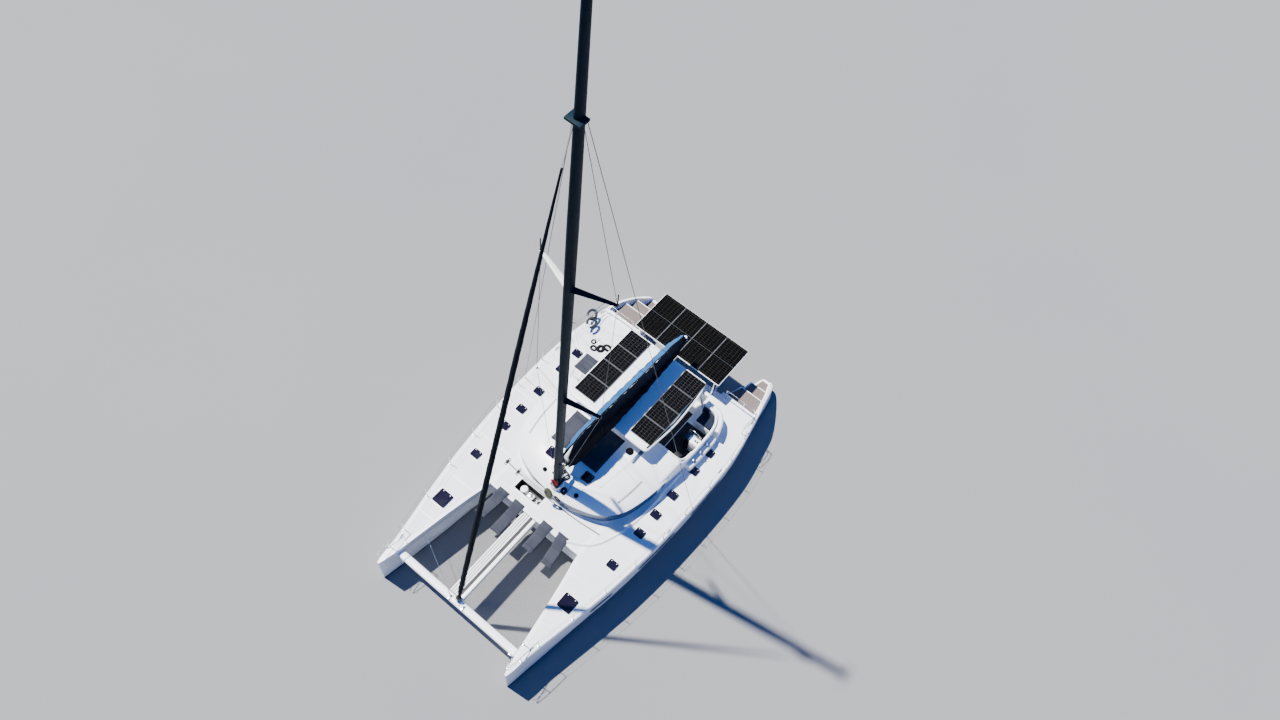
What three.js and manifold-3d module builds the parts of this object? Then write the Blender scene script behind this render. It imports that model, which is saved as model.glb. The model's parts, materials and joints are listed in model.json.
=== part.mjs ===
// Sailing catamaran afloat, in millimetres. +Z is up from the waterline, the bow points to -Y
// and the port side is at +X.

import * as THREE from 'three';
import { mergeVertices } from 'three/addons/utils/BufferGeometryUtils.js';
import Module from 'manifold-3d';

const wasm = await Module();
wasm.setup();

// Driving dimensions

const GAP = 0.3;
const DECK_Z = 1800;
const TUNNEL_Z = 780;
const SOLE_Z = 900;
const BRIDGE = { front: -3050, aft: 5900, half: 2200 };
const WELL = { front: -1400, aft: 5450, half: 1900 };
const LOCKER = { x: [-1400, -200], y: [-2600, -2150], floor: 1300 };

const HULL_CENTRE = 3125;
// y, inner deck edge, outer deck edge, deck height, half breadth at the water, depth below it
const HULL_STATIONS = [
  [-8000, 3080, 3160, 1800, 15, 30],
  [-7650, 2990, 3240, 1800, 80, 260],
  [-7000, 2870, 3320, 1800, 180, 400],
  [-6000, 2710, 3520, 1800, 330, 520],
  [-5000, 2550, 3720, 1800, 460, 600],
  [-4000, 2370, 3900, 1800, 570, 660],
  [-3050, 2200, 4055, 1800, 650, 700],
  [-1500, 2200, 4230, 1800, 730, 730],
  [0, 2200, 4340, 1800, 770, 740],
  [2000, 2200, 4400, 1800, 790, 720],
  [4000, 2200, 4340, 1800, 770, 650],
  [5900, 2200, 4020, 1800, 700, 500],
  [6600, 2480, 3870, 1740, 660, 420],
  [7400, 2650, 3690, 1330, 590, 310],
  [8050, 2760, 3540, 850, 470, 200],
  [8350, 2850, 3400, 640, 330, 150],
  [8450, 2960, 3260, 570, 180, 110],
];
// Stern steps: first y, last y, outer edge at each, tread height
const STERN_STEPS = [
  [6050, 6960, 3850, 3660, 1450],
  [6950, 7610, 3660, 3510, 1100],
  [7600, 8600, 3510, 3180, 450],
];

// Keel sections: z, first y, last y, half thickness
const KEEL_SECTIONS = [
  [-560, -1000, 1900, 150],
  [-1330, -700, 1500, 100],
  [-1350, -650, 1450, 60],
];
const RUDDER = { y: 6650, boss: 70, seat: -520, top: -560, foot: -1250 };
const DRIVE = { y: 4900, z: -980, pod: 75, front: 4680, aft: 5120 };
const PROPELLER = { radius: 230, hub: 60, length: 130, blades: 3 };

// Deck hatches of one side: name, distance from the centreline, y, width, length
const DECK_HATCHES = [
  ['bow', 3110, -4690, 600, 600],
  ['fore', 3430, -2540, 400, 350],
  ['side_1', 3430, -920, 400, 350],
  ['side_2', 3430, 50, 400, 350],
  ['side_3', 3440, 1100, 400, 350],
  ['side_4', 3440, 2450, 400, 350],
  ['aft', 3440, 3460, 400, 350],
];
// Cabin roof hatches: name, x, y, width, length
const ROOF_HATCHES = [
  ['roof_port', 760, -865, 420, 400],
  ['roof_starboard', -930, -950, 420, 400],
];
const HATCH = { frame: 40, frameHeight: 22, lid: 26, pocket: 60, corner: 60 };

// Half outline of the cabin from the front of the centreline to the aft corner: x, y
const CABIN_OUTLINE = [
  [0, -2050],
  [1000, -1930],
  [1930, -1570],
  [2430, -1070],
  [2710, -430],
  [2930, 710],
  [2960, 2050],
];
const CABIN_WALL = 70;
const ROOF_Z = 2900;
// Rings of the cabin: z, share of the breadth, share of the length
const CABIN_OUTSIDE = [
  [DECK_Z + GAP, 1, 1],
  [2450, 1, 1],
  [2475, 1.012, 1.01],
  [2560, 0.96, 0.985],
  [2680, 0.86, 0.945],
  [2800, 0.72, 0.88],
  [ROOF_Z, 0.52, 0.8],
];
const CABIN_INSIDE = [
  [DECK_Z - 10, 1, 1],
  [2430, 1, 1],
  [2490, 0.955, 0.985],
  [2620, 0.85, 0.94],
  [2735, 0.7, 0.87],
  [2825, 0.5, 0.79],
];
const WINDOW = { low: 1960, high: 2350, edge: 35, glass: 12 };
const DOOR = { x: [-600, 400], sill: 950, top: 2700, thick: 30, travel: 1030 };

const HELM = { floor: DECK_Z + GAP, top: 2600, wall: 100, seatZ: 2230, consoleTop: 2560 };
const HELM_CONSOLE = { x: [2430, 3080], y: [3000, 3330] };
const HELM_CUSHION = { thick: 90, back: 90, low: 20 };
// Plan line of the helm coaming from its forward end to its aft end: x, y
const HELM_LINE = [
  [3030, 2051],
  [3110, 2500],
  [3130, 3300],
  [3100, 4050],
  [2960, 4480],
  [2700, 4730],
  [2150, 4790],
];
const HELM_SEAT = [[2230, 4000], [3020, 4000], [3010, 4080], [2900, 4420], [2660, 4650], [2230, 4700]];
// Back edge of the helm cushion
const HELM_BACK = [[2990, 4030], [2870, 4390], [2640, 4600], [2240, 4650]];
const WHEEL = { x: 2650, y: 3400, z: 2420, radius: 300, rim: 16, spokes: 5 };

// Plan of the cockpit bench: along the starboard side and across the aft end
const BENCH = [[-1880, 2600], [-1300, 2600], [-1300, 4850], [1100, 4850], [1100, 5430], [-1880, 5430]];
const BENCH_TOP = 1320;
const BENCH_CUSHION = { inset: 10, thick: 90 };
const SIDE_PAD = { x: [-3150, -2400], y: [2870, 3770], thick: 90 };

const HARDTOP = { low: 3450, top: 3600, centreY: 3050 };
const HARDTOP_OUTLINE = [
  [-1950, 1250],
  [-1800, 1100],
  [1750, 1100],
  [1930, 1250],
  [2050, 2400],
  [2060, 3200],
  [1990, 4300],
  [1880, 4900],
  [1780, 5000],
  [-1850, 5000],
  [-1950, 4900],
];
const HARDTOP_FRAME = { deep: 70, half: 40, bearers: [-1500, 1500], beams: [1500, 3100, 4750] };
// Legs of the hardtop on the port side: foot and head as x, y, z, and radius
const FRONT_LEG = { foot: [1400, 1500, ROOF_Z], head: [1400, 1500], radius: 40 };
const AFT_LEG = { foot: [2080, 4860, 1700], head: [1740, 4750], radius: 45 };
const PANEL = { thick: 35, gap: 14, rail: 10, railHalf: 30 };
const ROOF_SOLAR = { port: [900, 1900], starboard: [-1870, -870], y: [1400, 4900], count: 4 };
const STERN_ARRAY = { half: 2130, front: 5560, aft: 7640, z: 2880 };
const DAVIT = { x: 1900, tube: 30, post: 35, braceFoot: 5840, braceHead: 7300, edge: 40 };

const CROSSBEAM = { front: -7300, aft: -7000, low: 1340, top: 1560 };
const NET = { z: 1600, thick: 8 };
const SPAR = { x: [-30, 120], z: [1380, 1640] };
const PLANK = { x: [-500, -150], z: [1590, 1640] };
// Loungers: name, middle x at the front end, middle x at the aft end, front y, aft y
const LOUNGERS = [
  ['lounger_1', 1530, 1325, -4150, -2800],
  ['lounger_2', 585, 585, -4150, -2850],
  ['lounger_3', -790, -790, -4400, -2900],
  ['lounger_4', -1700, -1560, -4250, -2900],
];
const LOUNGER = { half: 260, thick: 85 };
const SUN_PADS = { port: [[100, 900], [-550, 1250]], starboard: [[-1400, -650], [-550, 1050]], thick: 80 };

const MAST = { y: -1720, z: 2900, rake: 1.49, half: 130, chord: 200, step: 2870, top: 25000 };
const SPREADERS = [
  { root: 9300, tip: [1350, -1250, 9300] },
  { root: 15400, tip: [1350, -1014, 15525] },
];
const HOUNDS_Z = 21700;
const CHAINPLATE = [4290, 1211];
const GOOSENECK = { y: -1380, z: 3700, pin: 14, eye: 40 };
const BOOM = { yaw: 1.4, length: 7080, half: 100, deep: 150, rise: 0.08 };
// Sail bag sections along the boom: distance from the gooseneck, half width, height
const SAIL_BAG = [
  [130, 150, 620],
  [480, 230, 980],
  [900, 300, 1150],
  [2500, 350, 880],
  [4500, 330, 620],
  [6300, 260, 400],
  [6900, 140, 260],
];
const FORESTAY = { foot: [0, -7120], radius: 12, sides: 10, drum: 110 };
// Furled headsail: distance up the stay, radius
const HEADSAIL = [
  [360, 35],
  [900, 95],
  [6000, 105],
  [14000, 85],
  [19700, 30],
];

// Guard rail posts of one side: y; their tops carry the wires
const POSTS_Y = [-6500, -5000, -3500, -2000, -500, 800, 2300, 3800, 4900, 5850];
const RAIL = { inset: 90, height: 650, middle: 330, post: 14, wire: 7 };

// Materials

const finish = (color, roughness, metalness = 0) =>
  new THREE.MeshStandardMaterial({ color, roughness, metalness });
const gelcoat = finish(0xeef1f5, 0.3);
const darkGlass = finish(0x14181d, 0.08);
const solarBlack = finish(0x0c0d10, 0.25);
const netBlack = finish(0x2a2d30, 0.9);
const greyFabric = finish(0x70707c, 0.95);
const navyCanvas = finish(0x10182a, 0.85);
const sparPaint = finish(0x1c2530, 0.4, 0.3);
const stainless = finish(0xb8bcc0, 0.25, 1);
const bronze = finish(0x9a7b45, 0.35, 1);

// Solids: three.js geometry in, joined and cut, and three.js geometry out

function solid(geometry) {
  const bare = geometry.index ? geometry.toNonIndexed() : geometry.clone();
  bare.deleteAttribute('normal');
  bare.deleteAttribute('uv');
  const merged = mergeVertices(bare, 1e-3);
  const triVerts = new Uint32Array(merged.index.array);
  const vertProperties = merged.attributes.position.array;
  return new wasm.Manifold(new wasm.Mesh({ numProp: 3, vertProperties, triVerts }));
}

function geometryOf(body) {
  const { vertProperties, triVerts } = body.getMesh();
  const geometry = new THREE.BufferGeometry();
  geometry.setAttribute('position', new THREE.BufferAttribute(vertProperties, 3));
  geometry.setIndex(new THREE.BufferAttribute(triVerts, 1));
  return geometry;
}

const join = (...bodies) => bodies.reduce((all, body) => all.add(body));
const cut = (body, ...tools) => tools.reduce((rest, tool) => rest.subtract(tool), body);

function moved(body, x, y, z) {
  return solid(geometryOf(body).translate(x, y, z));
}

function mirrored(body) {
  const geometry = geometryOf(body).scale(-1, 1, 1);
  const index = geometry.index.array;
  for (let i = 0; i < index.length; i += 3) {
    [index[i], index[i + 1]] = [index[i + 1], index[i]];
  }
  return solid(geometry);
}

function block([x0, x1], [y0, y1], [z0, z1]) {
  const box = new THREE.BoxGeometry(x1 - x0, y1 - y0, z1 - z0);
  return solid(box.translate((x0 + x1) / 2, (y0 + y1) / 2, (z0 + z1) / 2));
}

// A prism on a plan outline of x, y pairs.
function prism(outline, low, high) {
  const shape = new THREE.Shape(outline.map(([x, y]) => new THREE.Vector2(x, y)));
  const raised = new THREE.ExtrudeGeometry(shape, { depth: high - low, bevelEnabled: false });
  return solid(raised.translate(0, 0, low));
}

// A plate with rounded corners, its middle at the origin of x and y.
function plate(width, length, corner, low, high) {
  const [w, l] = [width / 2, length / 2];
  const shape = new THREE.Shape();
  shape.moveTo(corner - w, -l);
  shape.lineTo(w - corner, -l).absarc(w - corner, corner - l, corner, -Math.PI / 2, 0);
  shape.lineTo(w, l - corner).absarc(w - corner, l - corner, corner, 0, Math.PI / 2);
  shape.lineTo(corner - w, l).absarc(corner - w, l - corner, corner, Math.PI / 2, Math.PI);
  shape.lineTo(-w, corner - l).absarc(corner - w, corner - l, corner, Math.PI, 1.5 * Math.PI);
  const options = { depth: high - low, bevelEnabled: false, curveSegments: 2 };
  return solid(new THREE.ExtrudeGeometry(shape, options).translate(0, 0, low));
}

// A body through rings of x, y, z points that all have the same count.
function loft(rings) {
  const count = rings[0].length;
  const middle = (ring) => [0, 1, 2].map((k) => ring.reduce((sum, p) => sum + p[k], 0) / count);
  const points = [...rings.flat(), middle(rings[0]), middle(rings.at(-1))];
  const faces = [];
  const last = (rings.length - 1) * count;
  for (let j = 0; j < count; j += 1) {
    const next = (j + 1) % count;
    for (let low = 0; low < last; low += count) {
      const high = low + count;
      faces.push([low + j, low + next, high + next], [low + j, high + next, high + j]);
    }
    faces.push([points.length - 2, next, j], [points.length - 1, last + j, last + next]);
  }
  const volume = faces.reduce((sum, face) => {
    const [a, b, c] = face.map((i) => new THREE.Vector3(...points[i]));
    return sum + a.dot(b.cross(c));
  }, 0);
  const outward = volume > 0 ? faces : faces.map(([a, b, c]) => [b, a, c]);
  const geometry = new THREE.BufferGeometry();
  geometry.setAttribute('position', new THREE.Float32BufferAttribute(points.flat(), 3));
  geometry.setIndex(outward.flat());
  return solid(geometry);
}

// Turns a geometry made along +Y so that it runs from one point towards another.
function along(geometry, from, to) {
  const start = new THREE.Vector3(...from);
  const way = new THREE.Vector3(...to).sub(start).normalize();
  geometry.applyQuaternion(new THREE.Quaternion().setFromUnitVectors(new THREE.Vector3(0, 1, 0), way));
  return solid(geometry.translate(start.x, start.y, start.z));
}

function rod(from, to, radius, sides = 8) {
  const length = new THREE.Vector3(...from).distanceTo(new THREE.Vector3(...to));
  const cylinder = new THREE.CylinderGeometry(radius, radius, length, sides);
  return along(cylinder.translate(0, length / 2, 0), from, to);
}

// Rods through a row of points.
function rods(points, radius, sides = 6) {
  return join(...points.slice(1).map((point, i) => rod(points[i], point, radius, sides)));
}

// Both ends of a stay between two level seats, drawn back so that its edge just clears them.
function stayEnds(foot, head, radius) {
  const [a, b] = [new THREE.Vector3(...foot), new THREE.Vector3(...head)];
  const way = b.clone().sub(a).normalize();
  const slope = Math.sqrt(1 - way.z * way.z);
  const back = (GAP + radius * slope) / way.z;
  return [a.addScaledVector(way, back).toArray(), b.addScaledVector(way, -back).toArray()];
}

function ellipse(x, y, z, halfX, halfY, sides) {
  return Array.from({ length: sides }, (_, i) => {
    const turn = (2 * Math.PI * i) / sides;
    return [x + halfX * Math.cos(turn), y + halfY * Math.sin(turn), z];
  });
}

const mix = (a, b, share) => a + (b - a) * share;

// A plan line moved sideways, to the right of its own direction.
function offsetLine(line, distance) {
  const normals = line.slice(1).map(([x, y], i) => {
    const [dx, dy] = [x - line[i][0], y - line[i][1]];
    const length = Math.hypot(dx, dy);
    return [dy / length, -dx / length];
  });
  return line.map(([x, y], i) => {
    const before = normals[Math.max(i - 1, 0)];
    const after = normals[Math.min(i, normals.length - 1)];
    const sum = [before[0] + after[0], before[1] + after[1]];
    const share = distance / (sum[0] * before[0] + sum[1] * before[1]);
    return [x + sum[0] * share, y + sum[1] * share];
  });
}

const catamaran = new THREE.Group();

function add(name, body, material, parent = catamaran) {
  const mesh = new THREE.Mesh(geometryOf(body), material);
  mesh.name = name;
  parent.add(mesh);
  return mesh;
}

// Hulls

function hullRing([y, deckIn, deckOut, deckZ, half, depth]) {
  const [waterIn, waterOut] = [HULL_CENTRE - half, HULL_CENTRE + half];
  const bevel = Math.min(70, 0.1 * (deckOut - deckIn));
  return [
    [deckIn, deckZ],
    [deckOut - bevel, deckZ],
    [deckOut, deckZ - bevel],
    [mix(waterOut, deckOut, 0.9), 0.42 * deckZ],
    [mix(waterOut, deckOut, 0.35), 0.23 * deckZ],
    [waterOut, 0],
    [HULL_CENTRE + 0.82 * half, -0.5 * depth],
    [HULL_CENTRE + 0.45 * half, -0.86 * depth],
    [HULL_CENTRE, -depth],
    [HULL_CENTRE - 0.45 * half, -0.86 * depth],
    [HULL_CENTRE - 0.82 * half, -0.5 * depth],
    [waterIn, 0],
    [mix(waterIn, deckIn, 0.35), 0.23 * deckZ],
    [deckIn, 0.42 * deckZ],
  ].map(([x, z]) => [x, y, z]);
}

function deckOutAt(y) {
  const next = HULL_STATIONS.findIndex((station) => station[0] >= y);
  const [a, b] = [HULL_STATIONS[Math.max(next - 1, 0)], HULL_STATIONS[next]];
  return mix(a[2], b[2], (y - a[0]) / (b[0] - a[0] || 1));
}

function hatchFrame(x, y, width, length, seat) {
  const outer = plate(width, length, HATCH.corner, seat - 5, seat + HATCH.frameHeight);
  return moved(outer, x, y, 0);
}

function hatchPocket(x, y, width, length, seat) {
  const [w, l] = [width - 2 * HATCH.frame, length - 2 * HATCH.frame];
  const pocket = plate(w, l, HATCH.corner / 2, seat - HATCH.pocket, seat + HATCH.frameHeight + 5);
  return moved(pocket, x, y, 0);
}

function stepCutter([y0, y1, out0, out1, tread]) {
  const outline = [[2000, y0], [out0, y0], [out1, y1], [2000, y1]];
  return prism(outline, tread, DECK_Z + 300);
}

function keel() {
  return loft(
    KEEL_SECTIONS.map(([z, front, aft, half]) =>
      ellipse(HULL_CENTRE, (front + aft) / 2, z, half, (aft - front) / 2, 16)),
  );
}

function portHull() {
  const shell = loft(HULL_STATIONS.map(hullRing));
  const boss = [HULL_CENTRE, RUDDER.y];
  const bearing = rod([...boss, RUDDER.seat], [...boss, -300], RUDDER.boss, 16);
  const frames = DECK_HATCHES.map(([, x, y, width, length]) => hatchFrame(x, y, width, length, DECK_Z));
  const pockets = DECK_HATCHES.map(([, x, y, width, length]) =>
    hatchPocket(x, y, width, length, DECK_Z));
  return cut(join(shell, keel(), bearing, ...frames), ...pockets, ...STERN_STEPS.map(stepCutter));
}

const hullPort = portHull();
const hullStarboard = mirrored(hullPort);
add('hull_port', hullPort, gelcoat);
add('hull_starboard', hullStarboard, gelcoat);

// What fits between the hulls is cut to clear their inner walls by the gap.
const betweenHulls = (body) =>
  cut(body, moved(hullPort, -GAP, 0, 0), moved(hullStarboard, GAP, 0, 0));

// Bridgedeck with the saloon and cockpit well and the anchor locker

function bridgedeck() {
  const half = BRIDGE.half - GAP;
  const slab = block([-half, half], [BRIDGE.front, BRIDGE.aft], [TUNNEL_Z, DECK_Z]);
  const well = block([-WELL.half, WELL.half], [WELL.front, WELL.aft], [SOLE_Z, DECK_Z + 100]);
  const locker = block(LOCKER.x, LOCKER.y, [LOCKER.floor, DECK_Z + 100]);
  return cut(slab, well, locker);
}
add('bridgedeck', bridgedeck(), gelcoat);

// Saloon cabin, hollow, with its windows and doorway cut

const starboardHalf = CABIN_OUTLINE.slice(1).reverse().map(([x, y]) => [-x, y]);
const cabinLine = [...starboardHalf, ...CABIN_OUTLINE];

function cabinRings(line, levels) {
  const aft = line[0][1];
  return levels.map(([z, breadth, length]) =>
    line.map(([x, y]) => [x * breadth, aft - (aft - y) * length, z]));
}

function cabinInside() {
  const line = offsetLine(cabinLine, -CABIN_WALL);
  const aft = line[0][1] - CABIN_WALL;
  const inner = line.map(([x, y], i) => [x, i === 0 || i === line.length - 1 ? aft : y]);
  return loft(cabinRings(inner, CABIN_INSIDE));
}

// Raised fairing ahead of the helm: its section at the front and at the aft end, x and z
function helmFairing() {
  const base = DECK_Z + GAP;
  const front = [[1950, base], [2920, base], [2925, 2430], [2700, 2560], [1950, 2780]];
  const aft = [[1950, base], [3050, base], [3040, 2600], [2850, 2790], [1950, 2895]];
  return loft([front.map(([x, z]) => [x, 720, z]), aft.map(([x, z]) => [x, 2050, z])]);
}

// One window per straight stretch of the wall, narrower than the stretch by its posts.
function windowCutters() {
  const panes = cabinLine.slice(1).map((point, i) => [cabinLine[i], point]).slice(0, -1);
  return panes.map(([a, b]) => {
    const share = WINDOW.edge / Math.hypot(b[0] - a[0], b[1] - a[1]);
    const pane = [share, 1 - share].map((s) => [mix(a[0], b[0], s), mix(a[1], b[1], s)]);
    const outline = [...offsetLine(pane, 60), ...offsetLine(pane, -2 * CABIN_WALL).reverse()];
    return prism(outline, WINDOW.low, WINDOW.high);
  });
}

function saloonCabin() {
  const step = rod([0, MAST.y, 2500], [0, MAST.y, MAST.step], 260, 16);
  const outside = join(loft(cabinRings(cabinLine, CABIN_OUTSIDE)), helmFairing(), step);
  const aft = CABIN_OUTLINE.at(-1)[1];
  const lower = [-(WELL.half - GAP), WELL.half - GAP];
  const bulkhead = block(lower, [aft - CABIN_WALL, aft], [SOLE_Z + GAP, DECK_Z + 50]);
  const track = block([-620, 1480], [aft - 5, aft + 40], [SOLE_Z + GAP, DOOR.sill]);
  const hatches = ROOF_HATCHES.map(([, x, y, width, length]) =>
    hatchFrame(x, y, width, length, ROOF_Z));
  const pockets = ROOF_HATCHES.map(([, x, y, width, length]) =>
    hatchPocket(x, y, width, length, ROOF_Z));
  const doorway = block(DOOR.x, [aft - 150, aft + 100], [DOOR.sill, DOOR.top]);
  const hatchway = block([-1850, -800], [aft - 150, aft + 100], [1900, 2500]);
  const shell = cut(join(outside, ...hatches), cabinInside(), ...windowCutters());
  return cut(join(shell, bulkhead, track), doorway, hatchway, ...pockets);
}
add('saloon_cabin', saloonCabin(), gelcoat);

// The glass is bonded on the outside of the wall and ends at the helm fairing.
function saloonWindows() {
  const line = cabinLine.slice(0, -1);
  line[0] = [line[0][0], 1900];
  const near = offsetLine(line, GAP);
  const far = offsetLine(line, GAP + WINDOW.glass);
  return prism([...far, ...near.reverse()], WINDOW.low - 30, WINDOW.high + 30);
}
add('saloon_windows', saloonWindows(), darkGlass);

function saloonDoor() {
  const aft = CABIN_OUTLINE.at(-1)[1];
  const [low, high] = [DOOR.sill + GAP, DOOR.top + 20];
  return block([DOOR.x[1] + 30, DOOR.x[1] + 30 + DOOR.travel], [aft + 6, aft + 6 + DOOR.thick], [low, high]);
}
add('saloon_door', saloonDoor(), darkGlass);

// Helm station on the port side deck

// The coaming, the seat moulded into its aft end and the console that stands against its side.
function helmStation() {
  const inner = offsetLine(HELM_LINE, -HELM.wall).reverse();
  const wall = prism([...HELM_LINE, ...inner], HELM.floor, HELM.top);
  const console = block(HELM_CONSOLE.x, HELM_CONSOLE.y, [HELM.floor, HELM.consoleTop]);
  return join(wall, prism(HELM_SEAT, HELM.floor, HELM.seatZ), console);
}
add('helm_station', helmStation(), gelcoat);

function helmSeat() {
  const low = HELM.seatZ + GAP;
  const pad = [[HELM_BACK.at(-1)[0], HELM_BACK[0][1]], ...HELM_BACK];
  const rest = [...HELM_BACK, ...offsetLine(HELM_BACK, -HELM_CUSHION.back).reverse()];
  return join(prism(pad, low, low + HELM_CUSHION.thick), prism(rest, low, HELM.top - HELM_CUSHION.low));
}
add('helm_seat', helmSeat(), navyCanvas);

function steeringWheel() {
  const rim = new THREE.TorusGeometry(WHEEL.radius, WHEEL.rim, 6, 28).rotateX(Math.PI / 2);
  const hub = rod([0, -70 + GAP, 0], [0, 40, 0], 45, 12);
  const spokes = Array.from({ length: WHEEL.spokes }, (_, i) => {
    const turn = (2 * Math.PI * i) / WHEEL.spokes + Math.PI / 2;
    const tip = [WHEEL.radius * Math.cos(turn), 0, WHEEL.radius * Math.sin(turn)];
    return rod([0, 0, 0], tip, 10, 6);
  });
  return join(solid(rim), hub, ...spokes);
}
add('steering_wheel', steeringWheel(), stainless).position.set(WHEEL.x, WHEEL.y, WHEEL.z);

// Cockpit bench along the starboard side and across the aft end, and its cushion

const cushionLine = offsetLine([...BENCH, BENCH[0]], -BENCH_CUSHION.inset).slice(0, -1);
add('cockpit_benches', prism(BENCH, SOLE_Z + GAP, BENCH_TOP), gelcoat);
add('cockpit_cushions', prism(cushionLine, BENCH_TOP + GAP, BENCH_TOP + BENCH_CUSHION.thick), greyFabric);
add('side_pad', block(SIDE_PAD.x, SIDE_PAD.y, [DECK_Z + GAP, DECK_Z + SIDE_PAD.thick]), greyFabric);

// Hardtop on its frame

function hardtop() {
  const levels = [[HARDTOP.low, 60], [3520, 0], [3580, 50], [HARDTOP.top, 200]];
  const rings = levels.map(([z, inset]) => HARDTOP_OUTLINE.map(([x, y]) => [
    x - inset * Math.sign(x),
    y - inset * Math.sign(y - HARDTOP.centreY) * Math.min(1, Math.abs(y - HARDTOP.centreY) / 1500),
    z,
  ]));
  return loft(rings);
}
add('hardtop', hardtop(), gelcoat);

function hardtopFrame() {
  const { deep, half, bearers, beams } = HARDTOP_FRAME;
  const high = HARDTOP.low - GAP;
  const low = high - deep;
  const along = bearers.map((x) => block([x - half, x + half], [1350, 4850], [low, high]));
  const across = beams.map((y) => block([-1800, 1800], [y - half, y + half], [low, high]));
  const legs = [FRONT_LEG, AFT_LEG].flatMap(({ foot: [x, y, z], head: [headX, headY], radius }) =>
    [-1, 1].map((side) =>
      rod([side * x, y, z], [side * headX, headY, low + 20], radius, 10)));
  const seats = [
    block([-2500, 2500], [4000, 5500], [1500, DECK_Z + GAP]),
    block([-1600, 1600], [1300, 1700], [ROOF_Z - 50, ROOF_Z + GAP]),
  ];
  return cut(join(...along, ...across, ...legs), ...seats);
}
add('hardtop_frame', hardtopFrame(), gelcoat);

// Framed panels side by side on two rails. `across` is true where they stand side by side along x.
function solarArray([x0, x1], [y0, y1], seat, count, across) {
  const [low, high] = [seat + GAP, seat + GAP + PANEL.rail + PANEL.thick];
  const [from, to] = across ? [x0, x1] : [y0, y1];
  const pitch = (to - from + PANEL.gap) / count;
  const panels = Array.from({ length: count }, (_, i) => {
    const start = from + i * pitch;
    const span = [start, start + pitch - PANEL.gap];
    const [x, y] = across ? [span, [y0, y1]] : [[x0, x1], span];
    return block(x, y, [low + PANEL.rail, high]);
  });
  const [sideA, sideB] = across ? [y0, y1] : [x0, x1];
  const rails = [0.22, 0.78].map((share) => {
    const at = mix(sideA, sideB, share);
    const wide = [at - PANEL.railHalf, at + PANEL.railHalf];
    const [x, y] = across ? [[x0, x1], wide] : [wide, [y0, y1]];
    return block(x, y, [low, low + PANEL.rail + 5]);
  });
  return join(...panels, ...rails);
}
for (const side of ['port', 'starboard']) {
  const array = solarArray(ROOF_SOLAR[side], ROOF_SOLAR.y, HARDTOP.top, ROOF_SOLAR.count, false);
  add(`roof_solar_${side}`, array, solarBlack);
}

// Davit frame over the stern, and its array

function davitFrame() {
  const { x: out, tube, post, braceFoot, braceHead, edge } = DAVIT;
  const top = STERN_ARRAY.z - tube;
  const [front, aft] = [STERN_ARRAY.front + edge, STERN_ARRAY.aft - edge];
  const under = DECK_Z - 50;
  const sides = [-out, out].flatMap((x) => [
    rod([x, front, top], [x, aft, top], tube),
    rod([x, front + edge, under], [x, front + edge, top], post),
    rod([x, braceFoot, under], [x, braceHead, top], tube),
  ]);
  const half = STERN_ARRAY.half - tube;
  const bars = [front, (front + aft) / 2, aft].map((y) => rod([-half, y, top], [half, y, top], tube));
  const deck = block([-2500, 2500], [5400, 6100], [1500, DECK_Z + GAP]);
  return cut(join(...sides, ...bars), deck);
}
add('davit_frame', davitFrame(), stainless);
const sternSpan = [-STERN_ARRAY.half, STERN_ARRAY.half];
const sternDepth = [STERN_ARRAY.front, STERN_ARRAY.aft];
add('stern_solar_array', solarArray(sternSpan, sternDepth, STERN_ARRAY.z, 4, true), solarBlack);

// Foredeck: crossbeam, longeron with its walkway, nets, loungers and sun pads

function crossbeam() {
  const beam = block([-3050, 3050], [CROSSBEAM.front, CROSSBEAM.aft], [CROSSBEAM.low, CROSSBEAM.top]);
  const [x, y] = FORESTAY.foot;
  const lug = block([x - 150, x + 150], [y - 120, y + 110], [CROSSBEAM.top - 5, CROSSBEAM.top + 40]);
  return betweenHulls(join(beam, lug));
}
add('forward_crossbeam', crossbeam(), gelcoat);

const FORE_Y = [CROSSBEAM.aft + GAP, BRIDGE.front - GAP];

function longeron() {
  const ties = [-6800, -5600, -4400, -3200].map((y) =>
    block([PLANK.x[0] + 40, SPAR.x[0] + 20], [y - 40, y + 40], [PLANK.z[0] - 60, PLANK.z[0] + 5]));
  return join(block(SPAR.x, FORE_Y, SPAR.z), block(PLANK.x, FORE_Y, PLANK.z), ...ties);
}
add('longeron', longeron(), gelcoat);

const netZ = [NET.z - NET.thick, NET.z];
add('net_port', betweenHulls(block([SPAR.x[1] + GAP, 2980], FORE_Y, netZ)), netBlack);
add('net_starboard', betweenHulls(block([-2980, PLANK.x[0] - GAP], FORE_Y, netZ)), netBlack);

// A lounger lies on the net and its head end rises onto the edge of the deck.
function lounger([, frontX, aftX, frontY, aftY]) {
  const level = NET.z + GAP;
  const raised = DECK_Z + GAP;
  const sections = [
    [frontY, level],
    [BRIDGE.front - 330, level],
    [BRIDGE.front - 60, raised],
    [aftY, raised],
  ];
  return loft(sections.map(([y, z]) => {
    const x = mix(frontX, aftX, (y - frontY) / (aftY - frontY));
    const [left, right] = [x - LOUNGER.half, x + LOUNGER.half];
    return [[left, y, z], [right, y, z], [right, y, z + LOUNGER.thick], [left, y, z + LOUNGER.thick]];
  }));
}
LOUNGERS.forEach((row) => add(row[0], lounger(row), greyFabric));

for (const side of ['port', 'starboard']) {
  const [x, y] = SUN_PADS[side];
  add(`sun_pad_${side}`, block(x, y, [ROOF_Z + GAP, ROOF_Z + SUN_PADS.thick]), greyFabric);
}

// Hatch lids, each hinged on its forward edge, and the anchor locker lid, which stands open

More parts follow.
